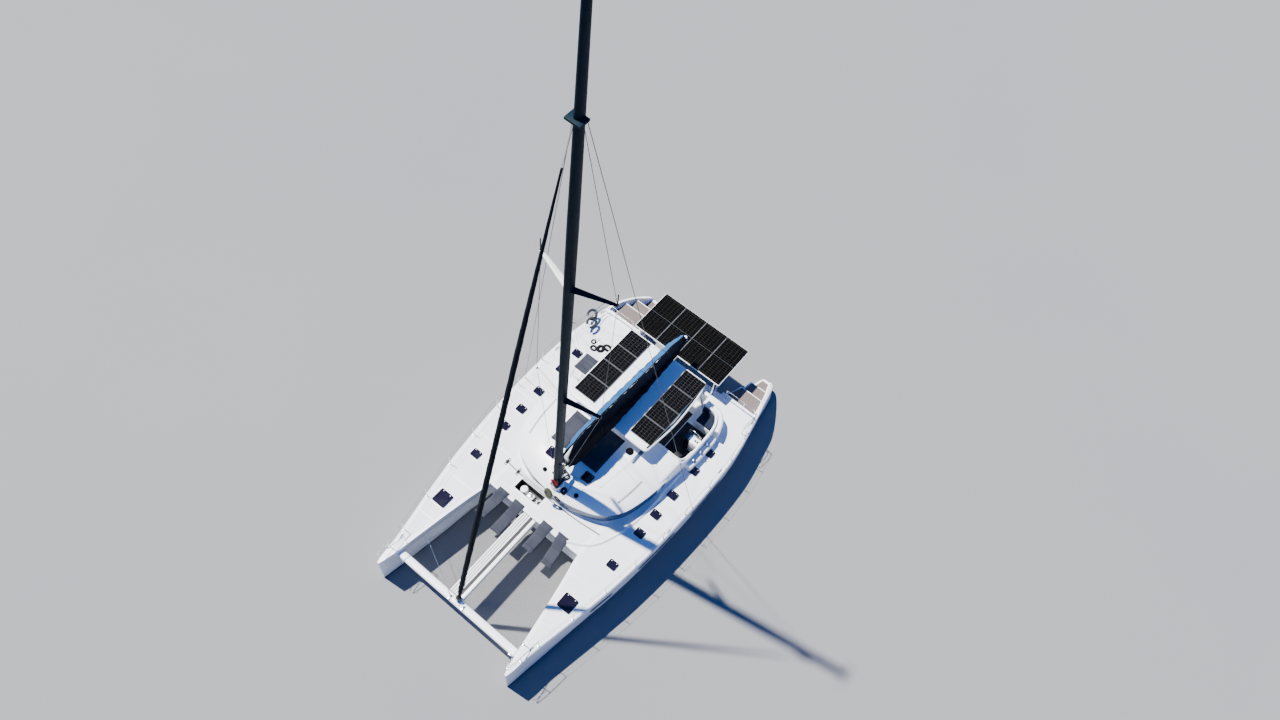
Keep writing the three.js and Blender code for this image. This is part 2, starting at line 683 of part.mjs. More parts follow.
function hatchLid(name, x, y, width, length, seat) {
  const lid = add(name, plate(width, length, HATCH.corner, GAP, GAP + HATCH.lid), darkGlass);
  lid.position.set(x, y, seat + HATCH.frameHeight);
}
for (const [name, x, y, width, length] of DECK_HATCHES) {
  hatchLid(`hatch_${name}_port`, x, y, width, length, DECK_Z);
  hatchLid(`hatch_${name}_starboard`, -x, y, width, length, DECK_Z);
}
for (const [name, x, y, width, length] of ROOF_HATCHES) {
  hatchLid(`hatch_${name}`, x, y, width, length, ROOF_Z);
}

const LOCKER_LID = { over: 30, thick: 30, open: 95 };
const lidHinge = new THREE.Group();
const lidDepth = LOCKER.y[1] - LOCKER.y[0] + 2 * LOCKER_LID.over;
const lidSpan = [LOCKER.x[0] - LOCKER_LID.over, LOCKER.x[1] + LOCKER_LID.over];
const lidHalf = LOCKER_LID.thick / 2;
lidHinge.position.set(0, LOCKER.y[1] + LOCKER_LID.over, DECK_Z + GAP + lidHalf);
lidHinge.rotation.x = THREE.MathUtils.degToRad(-LOCKER_LID.open);
catamaran.add(lidHinge);
const lidBarrel = rod([lidSpan[0], 0, 0], [lidSpan[1], 0, 0], lidHalf, 12);
const lidPlate = block(lidSpan, [-lidDepth, 0], [-lidHalf, lidHalf]);
add('anchor_locker_lid', join(lidPlate, lidBarrel), gelcoat, lidHinge);

// Mast with its spreaders, gooseneck bracket, hounds and masthead

const mastY = (z) => MAST.y + Math.tan(THREE.MathUtils.degToRad(MAST.rake)) * (z - MAST.z);

function spreader({ root, tip: [x, y, z] }) {
  const section = (atX, atY, atZ, half, thick) =>
    ellipse(0, 0, 0, half, thick, 8).map(([dy, dz]) => [atX, atY + dy, atZ + dz]);
  return loft([
    section(-x, y, z, 55, 18),
    section(0, mastY(root), root, 110, 35),
    section(x, y, z, 55, 18),
  ]);
}

function mast() {
  const levels = [[MAST.step + GAP, 1], [18000, 1], [MAST.top, 0.7]];
  const tube = loft(levels.map(([z, share]) =>
    ellipse(0, mastY(z), z, MAST.half * share, MAST.chord * share, 16)));
  const { y, z, pin } = GOOSENECK;
  const ears = [-85, 85].map((off) =>
    block([-45, 45], [mastY(z) + MAST.chord - 30, y + 50], [z + off - 15, z + off + 15]));
  const bolt = rod([0, y, z - 90], [0, y, z + 90], pin, 16);
  const hounds = block([-230, 230], [mastY(HOUNDS_Z) - 260, mastY(HOUNDS_Z) + 90], [HOUNDS_Z, HOUNDS_Z + 80]);
  const crane = block([-40, 40], [mastY(MAST.top) - 180, mastY(MAST.top) + 420], [MAST.top - 120, MAST.top - 20]);
  return join(tube, ...SPREADERS.map(spreader), ...ears, bolt, hounds, crane);
}
add('mast', mast(), sparPaint);

// Boom and sail bag, turned a little to port about the gooseneck

const boomGroup = new THREE.Group();
boomGroup.position.set(0, GOOSENECK.y, GOOSENECK.z);
boomGroup.rotation.z = THREE.MathUtils.degToRad(-BOOM.yaw);
catamaran.add(boomGroup);

function boom() {
  const { half, deep, rise, length } = BOOM;
  const section = (y, share) =>
    [[-0.5, -1], [0.5, -1], [1, -0.6], [1, 1], [-1, 1], [-1, -0.6]].map(([x, z]) =>
      [x * half * share, y, y * rise + z * deep * (z > 0 ? 1 : share)]);
  const tube = loft([section(80, 0.8), section(600, 1), section(length - 150, 1), section(length, 0.7)]);
  const eye = rod([0, 0, -70 + GAP], [0, 0, 65], GOOSENECK.eye, 16);
  const web = block([-35, 35], [10, 120], [-60, 60]);
  const hole = rod([0, 0, -200], [0, 0, 200], GOOSENECK.pin + 1, 16);
  return cut(join(tube, eye, web), hole);
}
add('boom', boom(), sparPaint, boomGroup);

function sailBag() {
  const shape = [[-0.3, 0], [-1, 0.15], [-0.98, 0.5], [-0.6, 0.85], [0, 1]];
  const outline = [...shape, ...shape.slice(0, -1).reverse().map(([x, z]) => [-x, z])];
  return loft(SAIL_BAG.map(([y, half, height]) =>
    outline.map(([x, z]) => [x * half, y, y * BOOM.rise + BOOM.deep + GAP + z * height])));
}
add('sail_bag', sailBag(), navyCanvas, boomGroup);

// Forestay with its furling drum, the furled headsail round it, and the cap shrouds

const stayFoot = [...FORESTAY.foot, CROSSBEAM.top + 40];
const stayHead = [0, mastY(HOUNDS_Z) - 230, HOUNDS_Z];
const [stayLow, stayHigh] = stayEnds(stayFoot, stayHead, FORESTAY.radius);
const upStay = (distance) => {
  const way = new THREE.Vector3(...stayHigh).sub(new THREE.Vector3(...stayLow)).normalize();
  return new THREE.Vector3(...stayLow).addScaledVector(way, distance).toArray();
};

const stay = rod(stayLow, stayHigh, FORESTAY.radius, FORESTAY.sides);
const drum = rod(upStay(110), upStay(260), FORESTAY.drum, 16);
add('forestay', join(stay, drum), stainless);

function headsail() {
  const bore = FORESTAY.radius + 0.5;
  const profile = HEADSAIL.map(([up, radius]) => new THREE.Vector2(radius, up));
  const [first, last] = [HEADSAIL[0][0], HEADSAIL.at(-1)[0]];
  const closed = [new THREE.Vector2(bore, first), ...profile, new THREE.Vector2(bore, last)];
  const lathe = new THREE.LatheGeometry([...closed, closed[0]], FORESTAY.sides);
  return along(lathe, stayLow, stayHigh);
}
add('furled_headsail', headsail(), netBlack);

for (const [name, side] of [['shroud_port', 1], ['shroud_starboard', -1]]) {
  const foot = [side * CHAINPLATE[0], CHAINPLATE[1], DECK_Z];
  const head = [side * 195, mastY(HOUNDS_Z) + 40, HOUNDS_Z];
  add(name, rod(...stayEnds(foot, head, 9), 9, 8), stainless);
}

// Guard rails: posts, two wires and the bow pulpit, all of one side in one piece

function guardRail() {
  const base = DECK_Z + GAP;
  const posts = POSTS_Y.map((y) => [deckOutAt(y) - RAIL.inset, y]);
  const uprights = posts.map(([x, y]) => rod([x, y, base], [x, y, base + RAIL.height], RAIL.post, 6));
  const wires = [RAIL.middle, RAIL.height - 10].map((height) =>
    rods(posts.map(([x, y]) => [x, y, base + height]), RAIL.wire, 5));
  const bow = [posts[0], [3240, -7300], [3150, -7850], [3090, -7850], [2990, -7300], [2905, -6800]];
  const pulpit = rods(bow.map(([x, y]) => [x, y, base + RAIL.height - 10]), RAIL.post, 6);
  const legs = [bow[1], bow.at(-1)].map(([x, y]) =>
    rod([x, y, base], [x, y, base + RAIL.height - 10], RAIL.post, 6));
  return join(...uprights, ...wires, pulpit, ...legs);
}
const railPort = guardRail();
add('guard_rail_port', railPort, stainless);
add('guard_rail_starboard', mirrored(railPort), stainless);

// Below the water: rudders, saildrives and propellers

function rudder() {
  const { seat, top, foot } = RUDDER;
  const blade = (z, front, aft, half) =>
    ellipse(0, 0, z, half, 1, 12).map(([x, y]) => [x, y > 0 ? y * aft : y * front, z]);
  const body = loft([blade(top, 180, 400, 45), blade(foot + 60, 150, 280, 32), blade(foot, 110, 200, 18)]);
  return join(body, rod([0, 0, top - 20], [0, 0, seat - GAP], 40, 12));
}

function saildrive(hull) {
  const { z, front, aft, pod } = DRIVE;
  const leg = loft([-300, z].map((level) => ellipse(0, DRIVE.y - 40, level, 45, 150, 12)));
  const body = loft([[front, 0.35], [front + 110, 1], [aft - 60, 1], [aft, 0.75]].map(([y, share]) =>
    ellipse(0, 0, 0, pod * share, pod * share, 12).map(([x, up]) => [x, y, z + up])));
  const placed = moved(join(leg, body), HULL_CENTRE, 0, 0);
  return cut(placed, moved(hull, 0, 0, -GAP));
}

function propeller() {
  const { radius, hub, length, blades } = PROPELLER;
  const core = loft([[0, 0.9], [length * 0.6, 0.9], [length, 0.4]].map(([y, share]) =>
    ellipse(0, 0, 0, hub * share, hub * share, 12).map(([x, z]) => [x, y, z])));
  const blade = loft([[20, 30, 12], [radius * 0.6, 75, 8], [radius * 0.93, 55, 5], [radius, 18, 3]].map(
    ([up, half, thick]) => {
      const twist = 0.9 - (0.5 * up) / radius;
      return ellipse(0, 0, 0, half, thick, 8).map(([u, v]) => [
        u * Math.cos(twist) - v * Math.sin(twist),
        length * 0.42 + u * Math.sin(twist) * 0.5 + v * Math.cos(twist),
        up,
      ]);
    }));
  const turned = Array.from({ length: blades }, (_, i) =>
    solid(geometryOf(blade).rotateY((2 * Math.PI * i) / blades)));
  return join(core, ...turned);
}

const driveBody = saildrive(hullPort);
add('saildrive_port', driveBody, sparPaint);
add('saildrive_starboard', mirrored(driveBody), sparPaint);
for (const [side, sign] of [['port', 1], ['starboard', -1]]) {
  const x = sign * HULL_CENTRE;
  add(`rudder_${side}`, rudder(), gelcoat).position.set(x, RUDDER.y, 0);
  add(`propeller_${side}`, propeller(), bronze).position.set(x, DRIVE.aft + GAP, DRIVE.z);
}

export default catamaran;
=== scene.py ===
# %% [markdown]
# # A cruising catamaran at anchor
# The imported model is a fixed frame. Every node lies at the origin with its place in its mesh, in
# metres: +Z is up from the waterline, the bow points to -Y and the port side is at +X. The cells
# below give that frame its finish: smooth hulls, cloth, ropes, glass and everything too fine for it.

# %% Load the frame
import json
import math

import bmesh
import bpy
import numpy as np
from mathutils import Matrix, Vector, noise
from mathutils.bvhtree import BVHTree


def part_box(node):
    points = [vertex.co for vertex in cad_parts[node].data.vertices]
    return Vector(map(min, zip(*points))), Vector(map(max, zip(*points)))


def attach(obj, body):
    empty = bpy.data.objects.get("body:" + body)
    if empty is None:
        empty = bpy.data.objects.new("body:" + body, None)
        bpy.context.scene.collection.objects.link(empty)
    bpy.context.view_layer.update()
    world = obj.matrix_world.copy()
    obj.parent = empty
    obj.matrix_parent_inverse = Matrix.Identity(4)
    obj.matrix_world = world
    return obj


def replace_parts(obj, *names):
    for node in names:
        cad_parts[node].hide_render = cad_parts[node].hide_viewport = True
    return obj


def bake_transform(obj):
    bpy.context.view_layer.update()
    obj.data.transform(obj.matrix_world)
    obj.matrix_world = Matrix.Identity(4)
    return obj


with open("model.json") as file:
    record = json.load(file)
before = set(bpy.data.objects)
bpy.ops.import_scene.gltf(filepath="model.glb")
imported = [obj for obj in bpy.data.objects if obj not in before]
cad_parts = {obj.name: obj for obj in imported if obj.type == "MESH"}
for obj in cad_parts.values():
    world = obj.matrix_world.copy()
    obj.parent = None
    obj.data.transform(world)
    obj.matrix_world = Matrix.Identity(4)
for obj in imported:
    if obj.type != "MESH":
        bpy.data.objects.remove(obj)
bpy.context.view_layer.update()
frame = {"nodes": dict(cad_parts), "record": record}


def placed(name, data):
    """A new object in the scene."""
    made = bpy.data.objects.new(name, data)
    bpy.context.scene.collection.objects.link(made)
    return made


# %% [markdown]
# ## Camera
# The picture was taken from a drone above the port bow. Position and angles were solved from known
# lengths on the boat, such as the square bow hatches. The camera's axes are built from the azimuth
# and elevation, then rolled about the line of sight.

# %% The camera
AZIMUTH, ELEVATION, ROLL = (math.radians(a) for a in (31.024, 59.734, 9.07))
CAMERA_PLACE = (9.473, -12.946, 37.595)
FOCAL_PIXELS, FRAME_WIDTH, SENSOR = 1000, 1280, 36.0

sight = Vector((math.sin(AZIMUTH) * math.cos(ELEVATION), -math.cos(AZIMUTH) * math.cos(ELEVATION),
                math.sin(ELEVATION)))
level_right = (-sight).cross(Vector((0, 0, 1))).normalized()
level_up = level_right.cross(-sight)
camera_right = level_right * math.cos(ROLL) + level_up * math.sin(ROLL)
camera_up = level_up * math.cos(ROLL) - level_right * math.sin(ROLL)
camera_data = bpy.data.cameras.new("camera")
camera_data.sensor_width = SENSOR
camera_data.lens = FOCAL_PIXELS / FRAME_WIDTH * SENSOR
camera_data.clip_end = 500
camera = placed("camera", camera_data)
turn = Matrix((camera_right, camera_up, sight)).transposed()
camera.matrix_world = Matrix.Translation(CAMERA_PLACE) @ turn.to_4x4()
bpy.context.scene.camera = camera
print("camera lens", round(camera_data.lens, 2), "mm")

# %% [markdown]
# ## Light and floor
# One sun stands high on the starboard side, as the shadows in the picture tell, and a blue sky fills
# them. The floor lies at the waterline and hides what is below it.

# %% Sun, sky and floor
SUN_FROM, SUN_STRENGTH, SUN_WIDTH = Vector((-0.5, -0.06, 1.0)), 14, 1.2
SKY_COLOR, SKY_STRENGTH = (0.07, 0.27, 1.0, 1), 0.66
FLOOR_HALF = 150
sun_data = bpy.data.lights.new("sun", "SUN")
sun_data.energy, sun_data.angle = SUN_STRENGTH, math.radians(SUN_WIDTH)
sun_data.color = (1.0, 0.975, 0.93)
sun = placed("sun", sun_data)
sun.rotation_mode = "QUATERNION"
sun.rotation_quaternion = SUN_FROM.to_track_quat("Z", "Y")

world = bpy.data.worlds.new("sky")
world.use_nodes = True
sky = world.node_tree.nodes["Background"].inputs
sky["Color"].default_value, sky["Strength"].default_value = SKY_COLOR, SKY_STRENGTH
bpy.context.scene.world = world

floor_shape = bmesh.new()
bmesh.ops.create_grid(floor_shape, x_segments=1, y_segments=1, size=FLOOR_HALF)
floor_mesh = bpy.data.meshes.new("floor")
floor_shape.to_mesh(floor_mesh)
placed("floor", floor_mesh)

# %% [markdown]
# ## How a finish is made
# Every finish is a Principled shader with a few nodes in front of it. One helper adds a node and
# wires it in a single line, and one gives the point on the surface in metres, so that every pattern
# has its real scale.


# %% Material helpers
def blank(name, color, roughness, **sockets):
    """A new material with its plain numbers set on the shader's own sockets."""
    made = bpy.data.materials.new(name)
    made.use_nodes = True
    shader = made.node_tree.nodes["Principled BSDF"]
    values = {"Base Color": (*color, 1), "Roughness": roughness}
    values.update({key.replace("_", " "): value for key, value in sockets.items()})
    for key, value in values.items():
        shader.inputs[key].default_value = value
    return made


def add(made, kind, inputs=None, **settings):
    """One more node: an input is a number, a colour or another node's socket."""
    new = made.node_tree.nodes.new("ShaderNode" + kind)
    for key, value in settings.items():
        setattr(new, key, value)
    for key, value in (inputs or {}).items():
        if isinstance(value, bpy.types.NodeSocket):
            made.node_tree.links.new(value, new.inputs[key])
        else:
            new.inputs[key].default_value = value
    return new.outputs[0]


def point(made, scale=(1, 1, 1)):
    """The point on the surface in metres, times a scale along each axis."""
    place = made.node_tree.nodes.get("place")
    if place is None:
        place = made.node_tree.nodes.new("ShaderNodeTexCoord")
        place.name = "place"
    return add(made, "Mapping", {"Vector": place.outputs["Object"], "Scale": scale})


def patches(made, scale, low, high, detail=3, stretch=(1, 1, 1)):
    """Soft noise that runs between two values."""
    pattern = add(made, "TexNoise", {"Vector": point(made, stretch), "Scale": scale, "Detail": detail})
    return add(made, "MapRange", {"Value": pattern, "From Min": 0.3, "From Max": 0.7,
                                  "To Min": low, "To Max": high})


def calc(made, operation, a, b=0):
    """Math on two sockets or numbers."""
    return add(made, "Math", {0: a, 1: b}, operation=operation)


def blended(made, share, a, b):
    """A colour between two others. Each is a colour or a socket."""
    colors = [c if isinstance(c, bpy.types.NodeSocket) else (*c, 1) for c in (a, b)]
    new = made.node_tree.nodes.new("ShaderNodeMix")
    new.data_type = "RGBA"
    for socket, value in ((new.inputs[0], share), (new.inputs[6], colors[0]), (new.inputs[7], colors[1])):
        if isinstance(value, bpy.types.NodeSocket):
            made.node_tree.links.new(value, socket)
        else:
            socket.default_value = value
    return new.outputs[2]


def drive(made, color=None, roughness=None, height=None, depth=0.001, strength=0.5):
    """Wires a colour, a roughness and a height into the shader."""
    shader = made.node_tree.nodes["Principled BSDF"]
    links = made.node_tree.links
    if color is not None:
        links.new(color, shader.inputs["Base Color"])
    if roughness is not None:
        links.new(roughness, shader.inputs["Roughness"])
    if height is not None:
        bump = add(made, "Bump", {"Height": height, "Distance": depth, "Strength": strength})
        links.new(bump, shader.inputs["Normal"])
    return made


# %% [markdown]
# ## Moulded surfaces
# Gelcoat is a clear white skin over glass fibre. It is glossy, but never perfect: salt dulls it in
# patches and the fibres print through as a faint waviness. Walking areas are moulded with a fine
# diamond grip. Below a dark boot stripe the hulls wear antifouling paint, so that finish changes
# with the height above the waterline.

# %% Gelcoat, grip and antifouling
WHITE, WHITE_SALTED = (0.86, 0.865, 0.87), (0.79, 0.80, 0.81)
BOOT_STRIPE, ANTIFOULING = (0.02, 0.03, 0.06), (0.025, 0.035, 0.075)
STRIPE_LOW, STRIPE_HIGH = 0.06, 0.17


def make_gelcoat(name, submerged=False):
    made = blank(name, WHITE, 0.35, Coat_Weight=0.12, Coat_Roughness=0.2)
    color = blended(made, patches(made, 0.9, 0.0, 0.55), WHITE, WHITE_SALTED)
    gloss = patches(made, 2.5, 0.32, 0.48)
    if submerged:
        place = add(made, "SeparateXYZ", {"Vector": point(made)}).node
        under_top, under_low = (calc(made, "LESS_THAN", place.outputs["Z"], height)
                                for height in (STRIPE_HIGH, STRIPE_LOW))
        growth = blended(made, patches(made, 5, 0, 1), ANTIFOULING, (0.03, 0.05, 0.06))
        color = blended(made, under_low, blended(made, under_top, color, BOOT_STRIPE), growth)
        gloss = calc(made, "ADD", gloss, calc(made, "MULTIPLY", under_low, 0.4))
    return drive(made, color, gloss, patches(made, 9, 0, 1), 0.002, 0.12)


def make_grip():
    made = blank("grip", WHITE, 0.55)
    cells = add(made, "TexVoronoi", {"Vector": point(made, (1, 0.6, 1)), "Scale": 160})
    color = blended(made, patches(made, 1.4, 0.1, 0.9), (0.78, 0.785, 0.79), (0.69, 0.70, 0.715))
    return drive(made, color, patches(made, 6, 0.5, 0.7), cells, 0.0012, 0.6)


gelcoat = make_gelcoat("gelcoat")
hull_gelcoat = make_gelcoat("hull_gelcoat", submerged=True)
grip = make_grip()

# %% [markdown]
# ## Glass, cells and metals
# Tinted glass lets a little of the saloon through. A solar cell is near black under its glass, with
# thin silver lines between the cells that follow each panel's own UV map. The spars wear a dark
# satin paint, and the rails are polished tube with fine drawing lines.


# %% Glass, cells, spar paint and steel
def make_glass(name, color, alpha, roughness):
    made = blank(name, color, roughness, Alpha=alpha)
    return drive(made, roughness=patches(made, 3, roughness, roughness + 0.08),
                 height=patches(made, 1.5, 0, 1), depth=0.003, strength=0.1)


def grid_lines(made, cells_across, cells_along, width):
    """1 on the lines between cells and 0 in them, on the piece's UV map."""
    shades = []
    uv = add(made, "SeparateXYZ", {"Vector": add(made, "UVMap", uv_map="panel")}).node
    for axis, count in (("X", cells_across), ("Y", cells_along)):
        scaled = calc(made, "MULTIPLY", uv.outputs[axis], count)
        middle = calc(made, "ABSOLUTE", calc(made, "SUBTRACT", calc(made, "FRACT", scaled), 0.5))
        shades.append(calc(made, "GREATER_THAN", middle, 0.5 - width))
    return calc(made, "MAXIMUM", *shades)


def make_cells(name, cells_across, cells_along, line):
    made = blank(name, (0.002, 0.002, 0.003), 0.12, Specular_IOR_Level=0.12)
    cell = blended(made, patches(made, 4, 0, 1), (0.001, 0.0008, 0.0008), (0.002, 0.0018, 0.0018))
    lines = grid_lines(made, cells_across, cells_along, 0.02)
    fingers = grid_lines(made, cells_across * 3, 1, 0.05)
    busbars = blended(made, calc(made, "MULTIPLY", fingers, 0.12), cell, line)
    return drive(made, blended(made, lines, busbars, line), patches(made, 8, 0.1, 0.16))


def make_paint(name, color, worn, roughness, shine=0.5):
    made = blank(name, color, roughness, Specular_IOR_Level=shine)
    shade = blended(made, patches(made, 3, 0, 1, 5), color, worn)
    return drive(made, shade, patches(made, 12, roughness - 0.08, roughness + 0.1, 4),
                 patches(made, 60, 0, 1), 0.0008, 0.2)


def make_metal(name, color, roughness):
    made = blank(name, color, roughness, Metallic=1.0)
    lines = patches(made, 90, 0, 1, 2, (1, 1, 0.06))
    shade = blended(made, patches(made, 7, 0, 0.6), color, [c * 0.75 for c in color])
    return drive(made, shade, patches(made, 25, roughness - 0.06, roughness + 0.12), lines, 0.0003, 0.15)


window_glass = make_glass("window_glass", (0.02, 0.05, 0.12), 0.94, 0.25)
hatch_acrylic = make_glass("hatch_acrylic", (0.006, 0.004, 0.012), 0.985, 0.07)
roof_cells = make_cells("roof_cells", 6, 7, (0.06, 0.06, 0.055))
stern_cells = make_cells("stern_cells", 6, 20, (0.03, 0.028, 0.015))
spar_paint = make_paint("spar_paint", (0.001, 0.009, 0.016), (0.003, 0.014, 0.022), 0.5, 0.06)
# The starboard spreaders take this pale paint as painted sunlight; the port ones take the mast's dark paint
# as painted shade.
spreader_painted_sunlight = make_paint("spreader_painted_sunlight", (0.70, 0.68, 0.62), (0.6, 0.58, 0.53), 0.45)
black_plastic = make_paint("black_plastic", (0.005, 0.005, 0.007), (0.013, 0.013, 0.015), 0.5, 0.3)
vent_black = make_paint("vent_black", (0.001, 0.001, 0.0015), (0.003, 0.003, 0.004), 0.75, 0.05)
drive_enamel = make_paint("drive_enamel", (0.10, 0.105, 0.11), (0.16, 0.16, 0.15), 0.4)
rudder_paint = make_paint("rudder_paint", ANTIFOULING, (0.04, 0.06, 0.07), 0.75)
frame_alloy = make_metal("frame_alloy", (0.72, 0.73, 0.74), 0.36)
steel = make_metal("steel", (0.66, 0.67, 0.68), 0.17)
stay_wire = make_metal("stay_wire", (0.10, 0.11, 0.12), 0.45)
bronze = make_metal("bronze", (0.52, 0.33, 0.12), 0.3)

# %% [markdown]
# ## Cloth, rope and wood
# Outdoor cloth is a plain weave of threads about 2 mm wide. Two waves that cross give its threads,
# and a slow noise fades it as the sun does. Rope gets the same crossing waves on a slant. The stern
# steps are laid with grey-pink weathered planks whose seams are dark rubber.


# %% Cloth, rope and planks
THREAD, THREAD_WAYS = 2 * math.pi / 0.0022, ((1, 0, 0), (0, 1, 0.4))


def weave(made):
    """Threads that pass over and under each other."""
    waves = []
    for axis in THREAD_WAYS:
        place = add(made, "VectorMath", {0: point(made), 1: axis}, operation="DOT_PRODUCT").node
        waves.append(calc(made, "SINE", calc(made, "MULTIPLY", place.outputs["Value"], THREAD)))
    return calc(made, "MULTIPLY", *waves)


def make_cloth(name, color, faded, roughness=0.9, sheen=0.03, shine=0.15):
    made = blank(name, color, roughness, Sheen_Weight=sheen, Sheen_Roughness=0.4, Specular_IOR_Level=shine)
    sun_bleach = blended(made, patches(made, 2.2, 0, 1, 4), color, faded)
    threads = weave(made)
    shade = blended(made, calc(made, "MULTIPLY", threads, 0.2), sun_bleach, [c * 0.5 for c in color])
    return drive(made, shade, patches(made, 5, roughness - 0.08, min(1, roughness + 0.06)),
                 threads, 0.0006, 0.5)


def make_planks(name, light, dark, pitch=0.052):
    made = blank(name, light, 0.65)
    place = add(made, "SeparateXYZ", {"Vector": point(made)}).node
    part = calc(made, "FRACT", calc(made, "DIVIDE", place.outputs["X"], pitch))
    middle = calc(made, "ABSOLUTE", calc(made, "SUBTRACT", part, 0.5))
    seam = calc(made, "GREATER_THAN", middle, 0.45)
    grain = patches(made, 60, 0, 1, 6, (1, 0.07, 1))
    wood = blended(made, grain, light, dark)
    tinted = blended(made, patches(made, 3, 0, 0.6), wood, [c * 0.8 for c in light])
    return drive(made, blended(made, seam, tinted, (0.04, 0.035, 0.035)), patches(made, 9, 0.55, 0.8),
                 calc(made, "SUBTRACT", grain, seam), 0.001, 0.5)


pad_grey = make_cloth("pad_grey", (0.028, 0.031, 0.043), (0.04, 0.043, 0.055))
pad_dark = make_cloth("pad_dark", (0.016, 0.017, 0.023), (0.024, 0.025, 0.031))
seat_navy = make_cloth("seat_navy", (0.006, 0.012, 0.026), (0.012, 0.02, 0.038))
bag_canvas = make_cloth("bag_canvas", (0.016, 0.07, 0.17), (0.026, 0.095, 0.22))
# The port sheet of the bag takes this near-black copy of the canvas: painted shade on the side away from the
# sun.
bag_painted_shade = make_cloth("bag_painted_shade", (0.0012, 0.002, 0.006), (0.002, 0.0035, 0.009), sheen=0, shine=0.05)
sail_white = make_cloth("sail_white", (0.72, 0.72, 0.70), (0.62, 0.62, 0.60), 0.7)
sail_strip = make_cloth("sail_strip", (0.001, 0.003, 0.006), (0.003, 0.006, 0.010), sheen=0)
net_cord = make_cloth("net_cord", (0.05, 0.052, 0.056), (0.075, 0.078, 0.08))
planks = make_planks("planks", (0.15, 0.115, 0.10), (0.10, 0.075, 0.065))
# The soles and the tables are made near black: painted shade under the hardtop and the cabin.
sole_wood_painted_shade = make_planks("sole_wood_painted_shade", (0.03, 0.024, 0.02), (0.018, 0.014, 0.012), 0.12)
rope_white = make_cloth("rope_white", (0.62, 0.62, 0.60), (0.5, 0.5, 0.48), 0.8)
rope_red = make_cloth("rope_red", (0.3, 0.008, 0.012), (0.2, 0.01, 0.012), 0.8)
rope_dark = make_cloth("rope_dark", (0.003, 0.0035, 0.006), (0.008, 0.009, 0.013), 0.8)
rope_olive = make_cloth("rope_olive", (0.055, 0.055, 0.028), (0.075, 0.075, 0.04), 0.8)
floor_paper = blank("floor_paper", (0.2, 0.2, 0.2), 0.9)
floor_mesh.materials.append(drive(floor_paper, blended(
    floor_paper, patches(floor_paper, 0.05, 0, 1), (0.2, 0.2, 0.2), (0.185, 0.187, 0.19))))

# %% [markdown]
# ## A finish for every node of the frame
# Each node first gets the finish of its slot. Most are then replaced by finer pieces, but whatever
# stays is never bare.

# %% Finishes by slot
SLOT_FINISH = {
    "gelcoat": gelcoat, "window_glass": window_glass, "hatch_glass": hatch_acrylic, "solar": roof_cells,
    "grey_fabric": pad_grey, "canvas": bag_canvas, "headsail_cover": sail_strip, "net": net_cord,
    "spar": spar_paint, "stainless": steel, "drive_paint": drive_enamel, "bronze": bronze,
}
for row in frame["record"]["subparts"]:
    slots = frame["nodes"][row["node"]].data.materials
    slots.clear()
    slots.append(SLOT_FINISH[row["material_slot"]])
print(len(frame["nodes"]), "nodes have a finish")

# %% [markdown]
# ## Modelling helpers
# Three operators make most shapes here. A grid of faces is wrapped over rows of points, which gives
# hulls, tubes and cloth alike. A cube is stretched and bevelled for whatever is boxy. A ribbon, a bar
# of rectangular section that follows a plan line, makes coamings, rails and glass.


# %% Lines
def smooth_line(rows, steps):
    """More rows between the given ones, on a curve that passes through them."""
    rows = np.array([list(row) for row in rows], float)
    ends = [2 * rows[0] - rows[1], *rows, 2 * rows[-1] - rows[-2]]
    made = []
    for before, a, b, after in zip(ends, ends[1:], ends[2:], ends[3:]):
        for t in np.arange(steps) / steps:
            bend = (2 * before - 5 * a + 4 * b - after) * t**2 + (3 * a - before - 3 * b + after) * t**3
            made.append(0.5 * (2 * a + (b - before) * t + bend))
    return np.array([*made, rows[-1]])


def offset(line, distance):
    """A plan line moved sideways, to the right of its own direction."""
    line = np.array([list(p)[:2] for p in line], float)
    ahead = np.diff(line, axis=0)
    ahead /= np.linalg.norm(ahead, axis=1)[:, None]
    right = np.stack([ahead[:, 1], -ahead[:, 0]], 1)
    before, after = np.vstack([right[:1], right]), np.vstack([right, right[-1:]])
    both = before + after
    return line + both * (distance / (both * before).sum(1))[:, None]


def mix(a, b, share):
    """A value or point between two others."""
    return a + (b - a) * share


def angles(count):
    """Even steps once round a circle."""
    return [2 * math.pi * k / count for k in range(count)]


# %% Surfaces
def shapes(count):
    """Empty shapes to model in."""
    return [bmesh.new() for _ in range(count)]


def skin(bm, rings, closed=True):
    """Wraps a grid of faces over rows of points. Closed rings join up and get a cap at both ends."""
    count = len(rings[0])
    across, along = (count if closed else count - 1), len(rings) - 1
    made = bmesh.ops.create_grid(bm, x_segments=across, y_segments=along, size=1)["verts"]
    for vertex in made:
        column, row = round((vertex.co.x + 1) / 2 * across), round((vertex.co.y + 1) / 2 * along)
        vertex.co = rings[row][column % count]
    bmesh.ops.remove_doubles(bm, verts=made, dist=1e-6)
    if closed:
        made = [v for v in made if v.is_valid]
        rims = {e for v in made for e in v.link_edges if e.is_boundary}
        bmesh.ops.holes_fill(bm, edges=list(rims), sides=0)
        bmesh.ops.recalc_face_normals(bm, faces=list({f for v in made for f in v.link_faces}))


def round_edges(bm, edges, width, segments=2):
    """Rounds edges off."""
    bmesh.ops.bevel(bm, geom=edges, offset=width, offset_type="OFFSET", segments=segments, profile=0.5,
                    affect="EDGES", material=-1, clamp_overlap=True)


def slab(bm, low, high, bevel=0.0, segments=2, turn=0.0):
    """A box between two corners with rounded edges, turned about its upright axis in degrees."""
    low, high = Vector(low), Vector(high)
    place = Matrix.Translation((low + high) / 2) @ Matrix.Rotation(math.radians(turn), 4, "Z")
    made = bmesh.ops.create_cube(bm, size=1, matrix=place @ Matrix.Diagonal((*(high - low), 1)))["verts"]
    if bevel:
        round_edges(bm, list({e for v in made for e in v.link_edges}), bevel, segments)


